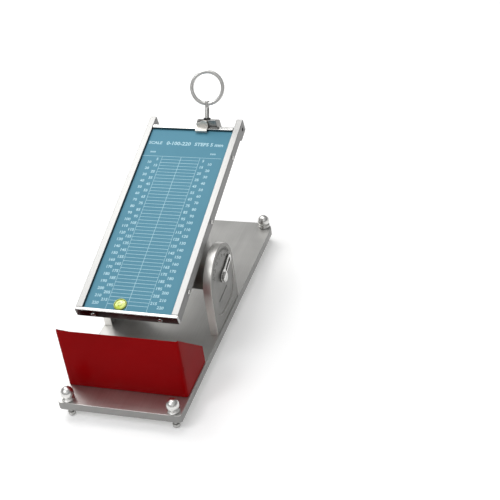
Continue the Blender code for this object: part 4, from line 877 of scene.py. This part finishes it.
# ---- Backing plate and lugs ------------------------------------------------------------
# A 4 mm aluminium plate ties the rails together.  Two lugs are screwed under it from above
# and hang down to the shaft.
frame_alloy = satin_aluminium("frame_alloy", 0.42, 0.42, (1300, 10, 1300))
low, high = span("backing_plate", board)
cup_low, cup_high = span("level_cup", board)
level_place = Matrix.Translation(((cup_low.x + cup_high.x) / 2, (cup_low.y + cup_high.y) / 2, 0))
cup_radius = (cup_high.x - cup_low.x) / 2
level_bore = drill(cup_radius + 0.3 * MM, low.z - 5 * MM, high.z + 5 * MM, 0, 64)
backing = carved(slab("backing", oblong(low, high, 0), low.z, high.z, 0.3 * MM),
                 (level_bore, level_place))
place("backing_sheet", backing, "board", "satin_aluminium", frame_alloy, board,
      ["backing_plate"])
LUG_FOOT = 12 * MM
LUG_BEND = 3 * MM
LUG_SHOULDER = 7 * MM
for side in SIDES:
    low, high = span("pivot_lug_" + side, shaft_axes)
    outline = rounded([
        (low.x, high.y, 0), (low.x, high.y - LUG_SHOULDER, LUG_BEND),
        (-LUG_FOOT, -LUG_FOOT, LUG_FOOT * 0.8), (LUG_FOOT, -LUG_FOOT, LUG_FOOT * 0.8),
        (high.x, high.y - LUG_SHOULDER, LUG_BEND), (high.x, high.y, 0)])
    lug = carved(slab("lug", outline, low.z, high.z, 0.5 * MM, 2),
                 (drill(SHAFT_HOLE_RADIUS, low.z, high.z), Matrix()))
    place("milled_lug_" + side, lug, "board", "satin_aluminium", frame_alloy, shaft_axes,
          ["pivot_lug_" + side])
LUG_HEAD = (2.7 * MM, 1.6 * MM)
for corner in FEET:
    name = "lug_screw_" + corner
    low, high = span(name, board)
    fasten(name, "board", black_screw, LUG_HEAD, (1.4 * MM, high.z - low.z - LUG_HEAD[1]),
           1.0 * MM, (0, 0, 1), board)


# ---- Side rails ------------------------------------------------------------------------
# Two pale anodised bars run the length of the board and stand 3 mm above the scale.  They are
# deeper at the high end, where a sunk grub screw closes each one; three screws hold each side.
# The rails' side faces are painted darker than their tops and ends, as painted shade.
rail_alloy = satin_aluminium("rail_alloy", 0.34, 0.42, (8, 1400, 1400), 24, (1.0, 1.0, 0.99),
                             across=2, painted_shade_share=0.66)
SHALLOW = 13.5 * MM
DEEP_FROM = 24 * MM
DEEP_BY = 19 * MM
GRUB_DEPTH = 6.6 * MM
SMALL_HEAD = (2.7 * MM, 1.3 * MM)
SMALL_SOCKET = 0.95 * MM
for side, sign in zip(SIDES, (-1, 1)):
    low, high = span("side_rail_" + side, shaft_axes)
    outline = rounded([
        (low.x, high.y - SHALLOW, 0.6 * MM), (high.x - DEEP_FROM, high.y - SHALLOW, 1 * MM),
        (high.x - DEEP_BY, low.y, 1 * MM), (high.x, low.y, 1.5 * MM), (high.x, high.y, 1.5 * MM),
        (low.x, high.y, 0.4 * MM)], math.radians(12))
    rail = slab("rail", outline, low.z, high.z, 0.6 * MM, 3)
    end_low, end_high = span("rail_end_screw_" + side, shaft_axes)
    centre = (end_low + end_high) / 2
    outer = high.z if sign > 0 else low.z
    sunk = drill(2.65 * MM, *sorted((outer, outer - sign * GRUB_DEPTH)))
    rail = carved(rail, (sunk, Matrix.Translation((centre.x, centre.y, 0))))
    place("anodised_rail_" + side, rail, "board", "pale_aluminium", rail_alloy, shaft_axes,
          ["side_rail_" + side])
    outward = (sign, 0, 0)
    for number in (1, 2, 3):
        fasten("side_screw_%s_%d" % (side, number), "board", zinc_screw, SMALL_HEAD,
               (1.4 * MM, 16 * MM), SMALL_SOCKET, outward, board)
    grub = turned("grub", [(0, 0), (2.1 * MM, 0), (2.4 * MM, -0.3 * MM), (2.4 * MM, -4.5 * MM),
                           (0, -4.5 * MM)], 40)
    key = turned("key", [(0, -2 * MM), (1.2 * MM, -2 * MM), (1.2 * MM, 1 * MM), (0, 1 * MM)], 6)
    name = "rail_end_screw_" + side
    place("grub_" + name, carved(grub, (key, Matrix())), "board", *black_screw,
          seat(name, outward, board), [name])


# ---- Cross bars ------------------------------------------------------------------------
# A thin bar closes the low end in front of the rails, held by two screws, and a deeper bar
# stands between the rails at the high end and carries the clamp.
# The bars' front and back faces are painted darker than the rest, as painted shade.
bar_alloy = satin_aluminium("bar_alloy", 0.45, 0.20, (8, 1400, 1400), 24, (1.0, 1.0, 0.99),
                            across=1, painted_shade_share=0.5)
for name, piece in (("bottom_bar", "polished_bottom_bar"), ("top_bar", "polished_top_bar")):
    low, high = span(name, board)
    outline = oblong(low, high, 0.3 * MM, step=math.radians(30))
    place(piece, slab(name, outline, low.z, high.z, 0.5 * MM, 2), "board", "pale_aluminium",
          bar_alloy, board, [name])
for side in SIDES:
    fasten("bottom_bar_screw_" + side, "board", zinc_screw, SMALL_HEAD, (1.4 * MM, 14 * MM),
           SMALL_SOCKET, (0, -1, 0), board)


# ---- Scale plate -----------------------------------------------------------------------
# A matt blue sheet lies between the rails.  It is screen printed in pale ink: a start line,
# two long rules, a line each 5 mm across the track, and figures each side in two columns.
def matt_blue(name):
    finish = Finish(name, {"Coat Weight": 0.03, "Coat Roughness": 0.3, "IOR": 1.2})
    clouds = finish.noise((18, 18, 18), 4)
    grain = finish.noise((2200, 2200, 2200), 2)
    finish.set(Base_Color=finish.mix(clouds, (0.076, 0.232, 0.320), (0.098, 0.275, 0.368)),
               Roughness=0.42 + grain * 0.12, Normal=finish.bump(grain, 0.02 * MM, 0.15))
    return finish


low, high = span("scale_plate", board)
outline = oblong(low, high, 0.2 * MM, step=math.radians(45))
sheet = carved(slab("scale", outline, low.z, high.z, 0.15 * MM), (level_bore, level_place))
place("blue_scale_sheet", sheet, "board", "blue_printed_plate", matt_blue("blue_sheet"), board,
      ["scale_plate"])

ink = Finish("pale_ink", {"Specular IOR Level": 0.3})
thin = ink.noise((600, 600, 600), 4, 0.7)
ink.set(Base_Color=ink.mix(ink.clipped(thin, 0.3, 0.65), (0.32, 0.56, 0.66), (0.47, 0.68, 0.76)),
        Roughness=0.5 + thin * 0.15)
PRINT_MIDDLE = -2.2 * MM
START_LINE = 131 * MM
TRACK_HALF = 24.2 * MM
LONGEST = 220
TICK_STEP = 5
OUTER_COLUMN = 38.6 * MM
INNER_COLUMN = 29.4 * MM
START_LINE_HALF = 51 * MM
TITLE_RISE = 21.5 * MM
print_low = high.z - 0.05 * MM
print_high = high.z + 0.03 * MM


def scale_print(shape):
    """The rules, lines and figures of the printed scale."""
    def across(y, first, last, width):
        bar(shape, (PRINT_MIDDLE + (first + last) / 2, y), 0, last - first, width,
            print_low, print_high)

    def along(x, first, last, width):
        bar(shape, (PRINT_MIDDLE + x, (first + last) / 2), math.pi / 2, last - first, width,
            print_low, print_high)

    def figures(words, x, y, size):
        write(shape, words, (PRINT_MIDDLE + x, y), size, print_low, print_high)

    foot = max(low.y + 1 * MM, START_LINE - (LONGEST + 8) * MM)
    across(START_LINE, -START_LINE_HALF, START_LINE_HALF, 0.45 * MM)
    for x in (-TRACK_HALF, TRACK_HALF):
        along(x, foot, START_LINE, 0.4 * MM)
    along(0, foot, START_LINE, 0.5 * MM)
    for tick in range(TICK_STEP, LONGEST + TICK_STEP, TICK_STEP):
        y = START_LINE - tick * MM
        across(y, -TRACK_HALF, TRACK_HALF, 0.55 * MM if tick % 10 == 0 else 0.45 * MM)
        column = OUTER_COLUMN if tick % 10 == 0 else INNER_COLUMN
        for x in (-column, column):
            figures(str(tick), x, y, 5.3 * MM)
    for x in (-OUTER_COLUMN, OUTER_COLUMN):
        figures("mm", x, START_LINE + 7 * MM, 4.6 * MM)
    title = START_LINE + TITLE_RISE
    figures("SCALE", -39.8 * MM, title, 6.2 * MM)
    figures("0-100-220", -9.6 * MM, title, 7.6 * MM)
    figures("STEPS 5 mm", 29.5 * MM, title, 7.2 * MM)


place("scale_print", mesh_from("scale_print", scale_print), "board", "blue_printed_plate", ink,
      board)


# ---- Bull's-eye level ------------------------------------------------------------------
# A moulded yellow-green cup is let into the board near its low end.  It holds bright liquid
# with a bubble and a black centring ring.
cup_plastic = mottled("level_plastic", {"Coat Weight": 0.4, "Coat Roughness": 0.1}, 500, 3,
                      (0.30, 0.38, 0.03), (0.44, 0.52, 0.06), 0.3, 0.1)[0]
liquid = mottled("level_liquid", {"Coat Weight": 0.8, "Coat Roughness": 0.02}, 420, 3,
                 (0.46, 0.56, 0.02), (0.62, 0.72, 0.06), 0.08, 0.05)[0]
bubble_skin = mottled("level_bubble", {"Coat Weight": 1.0, "Coat Roughness": 0.0}, 900, 2,
                      (0.80, 0.88, 0.42), (0.93, 0.96, 0.66), 0.05, 0.04)[0]
level = board @ level_place
rim = cup_radius
top = cup_high.z
cup = turned("cup", [
    (0, cup_low.z), (rim - 0.4 * MM, cup_low.z), (rim, cup_low.z + 0.4 * MM), (rim, top - 0.5 * MM),
    (rim - 0.15 * MM, top - 0.15 * MM), (rim - 0.5 * MM, top), (rim - 1.1 * MM, top),
    (rim - 1.3 * MM, top - 0.2 * MM), (rim - 1.3 * MM, cup_low.z + 1.3 * MM),
    (0, cup_low.z + 1.3 * MM)], 72)
place("moulded_level_cup", cup, "board", "level_cup", cup_plastic, level, ["level_cup"])
vial_radius = rim - 1.5 * MM
vial = turned("vial", [(0, top - 0.12 * MM), (vial_radius * 0.6, top - 0.2 * MM),
                       (vial_radius - 0.3 * MM, top - 0.4 * MM), (vial_radius, top - 0.7 * MM),
                       (vial_radius, cup_low.z + 1.6 * MM), (0, cup_low.z + 1.6 * MM)], 72)
place("liquid_vial", vial, "board", "level_fluid", liquid, level, ["level_vial"])
target = turned("target", [(2.35 * MM, top - 0.25 * MM), (2.35 * MM, top - 0.07 * MM),
                           (2.65 * MM, top - 0.08 * MM), (2.65 * MM, top - 0.25 * MM)], 64,
                closed=True)
place("centring_ring", target, "board", "level_fluid", mark_paint, level)
bubble = turned("bubble", [(1.75 * MM * x, 0.4 * MM * y) for x, y in arc(1, (0, 0), 90, 0, 8)]
                + [(0, 0)], 48)
place("level_bubble", bubble, "board", "level_fluid", bubble_skin,
      level @ Matrix.Translation((0.6 * MM, 2.6 * MM, top - 0.3 * MM)))


# ---- Clamp block and jaw ---------------------------------------------------------------
# A block screwed behind the top bar holds the ring screw.  Its left shoulder slopes, and a
# small bent jaw hinged on a pin in the block hooks over the top bar onto the tape's end.
pull_axis = Vector(joints["ring_turn"]["axis"])
lean = math.atan2(pull_axis.y, pull_axis.z) + REST_TILT
exit_point = board.inverted() @ Vector(joints["ring_turn"]["pos_m"])
screw_axes = board @ Matrix.Translation(exit_point) @ Matrix.Rotation(-lean, 4, "X")
SHOULDER_WIDTH = 10.5 * MM
SHOULDER_DROP = 6.0 * MM
block_low, block_high = span("clamp_block", shaft_axes)
jaw_low, jaw_high = span("clamp_jaw", shaft_axes)


def top_face(y, drop=0.0):
    """Height of the block's leaning top at y, or of a plane this far below it."""
    return exit_point.z - (y - exit_point.y) * math.tan(lean) - drop / math.cos(lean)


shoulder_top = top_face(block_low.x)
shoulder_slope = SHOULDER_DROP / SHOULDER_WIDTH


def shoulder_prism():
    """Cutter above the sloping left shoulder of the block and the jaw."""
    left = block_low.z - 5 * MM
    right = block_low.z + SHOULDER_WIDTH
    start = shoulder_top - SHOULDER_DROP - 5 * MM * shoulder_slope
    corners = [Vector((left, start)), Vector((right, shoulder_top)),
               Vector((right, shoulder_top + 20 * MM)), Vector((left, shoulder_top + 20 * MM))]
    return slab("shoulder", corners, -30 * MM, 30 * MM)


UPRIGHT = Matrix(((1, 0, 0, 0), (0, 0, -1, 0), (0, 1, 0, 0), (0, 0, 0, 1)))
to_outline = SIDEWAYS.inverted()
prism_place = to_outline @ Matrix.Translation((0, block_low.x, 0)) @ UPRIGHT
block_metal = satin_aluminium("block_metal", 0.34, 0.50, (1300, 1300, 12), 60)
block_outline = rounded([
    (block_low.x, block_low.y, 0.7 * MM), (block_high.x, block_low.y, 0.9 * MM),
    (block_high.x, top_face(block_high.x), 0.9 * MM), (block_low.x, shoulder_top, 0.7 * MM)],
    math.radians(20))
SWING_DEPTH = 1.9 * MM
SWING_SLOPE = 2.8 * MM
swing_start = block_low.y - 2 * MM + 12 * MM
swing_front = block_low.x - 2 * MM
swing_back = block_low.x + SWING_DEPTH
swing = [Vector(p) for p in (
    (swing_front, swing_start), (swing_back, swing_start + SWING_SLOPE),
    (swing_back, shoulder_top + 9 * MM), (swing_front, shoulder_top + 9 * MM))]
swing_room = slab("swing_room", swing, block_low.z - 5 * MM, jaw_high.z + 0.6 * MM)
jaw_pivot = board.inverted() @ Vector(joints["jaw_open"]["pos_m"])
ARM_HALF = 1.6 * MM
ARM_WIDTH = 9 * MM
arm_right = jaw_high.z
arm_back = jaw_pivot.y + 2.2 * MM
arm_foot = jaw_pivot.z - ARM_HALF
PAD_DEPTH = 4.5 * MM
PAD_LOW = 4.2 * MM
PAD_RADIUS = 2.5 * MM
pad_corner = top_face(exit_point.y) - PAD_LOW * math.cos(lean) - PAD_RADIUS * math.sin(lean)
arm_top = pad_corner - 0.3 * MM
bar_rear = block_low.x - 0.3 * MM
facet_start = bar_rear + 0.8 * MM
facet_end = exit_point.y - (arm_top - top_face(exit_point.y, PAD_DEPTH)) / math.tan(lean)
room = 1.2 * MM
slot_front = block_low.x - 5 * MM
slot_top = top_face(facet_start + room, PAD_DEPTH - 2.4 * MM)
slot = [Vector(p) for p in (
    (slot_front, arm_foot - room), (arm_back + room, arm_foot - room),
    (arm_back + room, arm_top + room), (facet_end + room, arm_top + room),
    (facet_start + room, slot_top), (slot_front, slot_top))]
arm_slot = slab("arm_slot", slot, arm_right - ARM_WIDTH - 0.4 * MM, arm_right + 0.4 * MM)
pin_low, pin_high = span("jaw_pin", shaft_axes)
pin_place = Matrix.Translation((jaw_pivot.y, jaw_pivot.z, 0))
pin_hole = drill(1.0 * MM, pin_low.z - 0.3 * MM, pin_high.z + 0.3 * MM, 0, 20)
screw_bore = drill(3.0 * MM, -PAD_DEPTH - 1 * MM, 4 * MM, 0)
into_outline = shaft_axes.inverted() @ screw_axes
block = carved(slab("block", block_outline, block_low.z, block_high.z, 0.4 * MM, 3),
               (shoulder_prism(), prism_place), (swing_room, Matrix()), (arm_slot, Matrix()),
               (pin_hole, pin_place), (screw_bore, into_outline))
place("milled_clamp_block", block, "board", "satin_aluminium", block_metal, shaft_axes,
      ["clamp_block"])
for side in SIDES:
    fasten("clamp_block_screw_" + side, "board", zinc_screw, SMALL_HEAD, (1.4 * MM, 13 * MM),
           SMALL_SOCKET, (0, 1, 0), board)

STRIP = 1.2 * MM
face = span("side_rail_left", board)[1].z
under = face + 0.4 * MM
strip_corners = [
    (jaw_low.x, face - 1.5 * MM, 0.2 * MM), (jaw_low.x + STRIP, face - 1.5 * MM, 0.2 * MM),
    (jaw_low.x + STRIP, under, 0.5 * MM), (bar_rear, under, 0.3 * MM),
    (bar_rear, jaw_high.y, 0.4 * MM), (bar_rear - STRIP, jaw_high.y, 0.4 * MM),
    (bar_rear - STRIP, under + STRIP, 0.3 * MM), (jaw_low.x, under + STRIP, 1.3 * MM)]
strip = slab("strip", rounded(strip_corners, math.radians(20)), jaw_low.z, jaw_high.z,
             0.15 * MM, 2)
arm = slab("arm", [Vector(p) for p in (
    (bar_rear - STRIP / 2, under + STRIP / 2), (bar_rear + 0.5 * MM, under + STRIP / 2),
    (bar_rear + 0.5 * MM, arm_foot), (arm_back, arm_foot), (arm_back, arm_top),
    (facet_end, arm_top), (facet_start, top_face(facet_start, PAD_DEPTH)),
    (bar_rear - STRIP / 2, top_face(facet_start, PAD_DEPTH)))],
    arm_right - ARM_WIDTH, arm_right, 0.15 * MM, 2)
jaw = carved(strip, (arm, Matrix()), joined=True)
jaw = carved(jaw, (shoulder_prism(), prism_place), (pin_hole, pin_place))
jaw_metal = satin_aluminium("jaw_metal", 0.64, 0.50, (900, 900, 14), 90, (1.0, 0.98, 0.93))
place("bent_clamp_jaw", jaw, "jaw", "pale_aluminium", jaw_metal, shaft_axes, ["clamp_jaw"])
pin = turned("pin", [(0, pin_low.z), (0.6 * MM, pin_low.z), (0.8 * MM, pin_low.z + 0.2 * MM),
                     (0.8 * MM, pin_high.z - 0.2 * MM), (0.6 * MM, pin_high.z), (0, pin_high.z)],
             24)
place("ground_jaw_pin", pin, "board", "polished_steel", ground_steel, shaft_axes @ pin_place,
      ["jaw_pin"])


# ---- Ring screw ------------------------------------------------------------------------
# An M5.5 screw turns in a threaded bush and lifts a bronze pad off the jaw's arm.  A flat
# steel ring is pressed over its end and is turned by finger and thumb.
pad_low, pad_high = span("clamp_pad", screw_axes)
pad = turned("pad", [
    (0, pad_high.z), (2.2 * MM, pad_high.z), (PAD_RADIUS, pad_high.z - 0.3 * MM),
    (PAD_RADIUS, pad_low.z + 0.3 * MM), (2.2 * MM, pad_low.z), (0, pad_low.z)], 40)
place("turned_clamp_pad", pad, "pad", "bush_bronze", bronze, screw_axes, ["clamp_pad"])
bush_low, bush_high = span("screw_bush", screw_axes)
collar = turned("collar", [
    (3.0 * MM, bush_low.z), (3.0 * MM, bush_high.z - 0.3 * MM), (3.3 * MM, bush_high.z),
    (3.9 * MM, bush_high.z), (4.4 * MM, bush_high.z - 0.5 * MM), (4.4 * MM, bush_low.z)], 48,
    closed=True)
place("threaded_screw_bush", collar, "board", *black_screw, screw_axes, ["screw_bush"])
shank_low, shank_high = span("ring_screw", screw_axes)
thread_end = shank_high.z - 8.5 * MM
shank = threaded("shank", 2.75 * MM, 0.35 * MM, 0.8 * MM, shank_low.z, thread_end + 1 * MM,
                 0.4 * MM)
place("ring_screw_thread", shank, "ring", "polished_steel", stud_steel, screw_axes)
neck = turned("neck", [
    (0, shank_high.z), (2.2 * MM, shank_high.z), (2.7 * MM, shank_high.z - 0.5 * MM),
    (2.7 * MM, thread_end + 1.2 * MM), (2.45 * MM, thread_end + 0.8 * MM),
    (2.45 * MM, thread_end + 0.2 * MM), (0, thread_end + 0.2 * MM)], 48)
place("ring_screw_neck", neck, "ring", "polished_steel", ground_steel, screw_axes,
      ["ring_screw"])
ring_low, ring_high = span("pull_ring", screw_axes)
RING_RADIUS = (ring_high.z - ring_low.z) / 2
RING_WALL = 4.2 * MM
RING_HALF = 2.4 * MM
RING_YAW = math.radians(6)
ring_middle = Matrix.Translation((0, 0, (ring_low.z + ring_high.z) / 2))
ring_axes = (screw_axes @ ring_middle @ Matrix.Rotation(RING_YAW, 4, "Z")
             @ Matrix.Rotation(math.pi / 2, 4, "X"))
section = oblong((RING_RADIUS - RING_WALL, -RING_HALF), (RING_RADIUS, RING_HALF), 1.3 * MM,
                 step=math.radians(18))
ring = turned("ring", [tuple(point) for point in section], 128, closed=True)
ring_bore = drill(2.9 * MM, ring_low.z - 3 * MM, ring_low.z + RING_WALL + 3 * MM, 0)
ring = carved(ring, (ring_bore, ring_axes.inverted() @ screw_axes))
ring_steel = polished_steel("ring_steel", 0.56, 0.20, 900)
place("flat_pull_ring", ring, "ring", "polished_steel", ring_steel, ring_axes, ["pull_ring"])
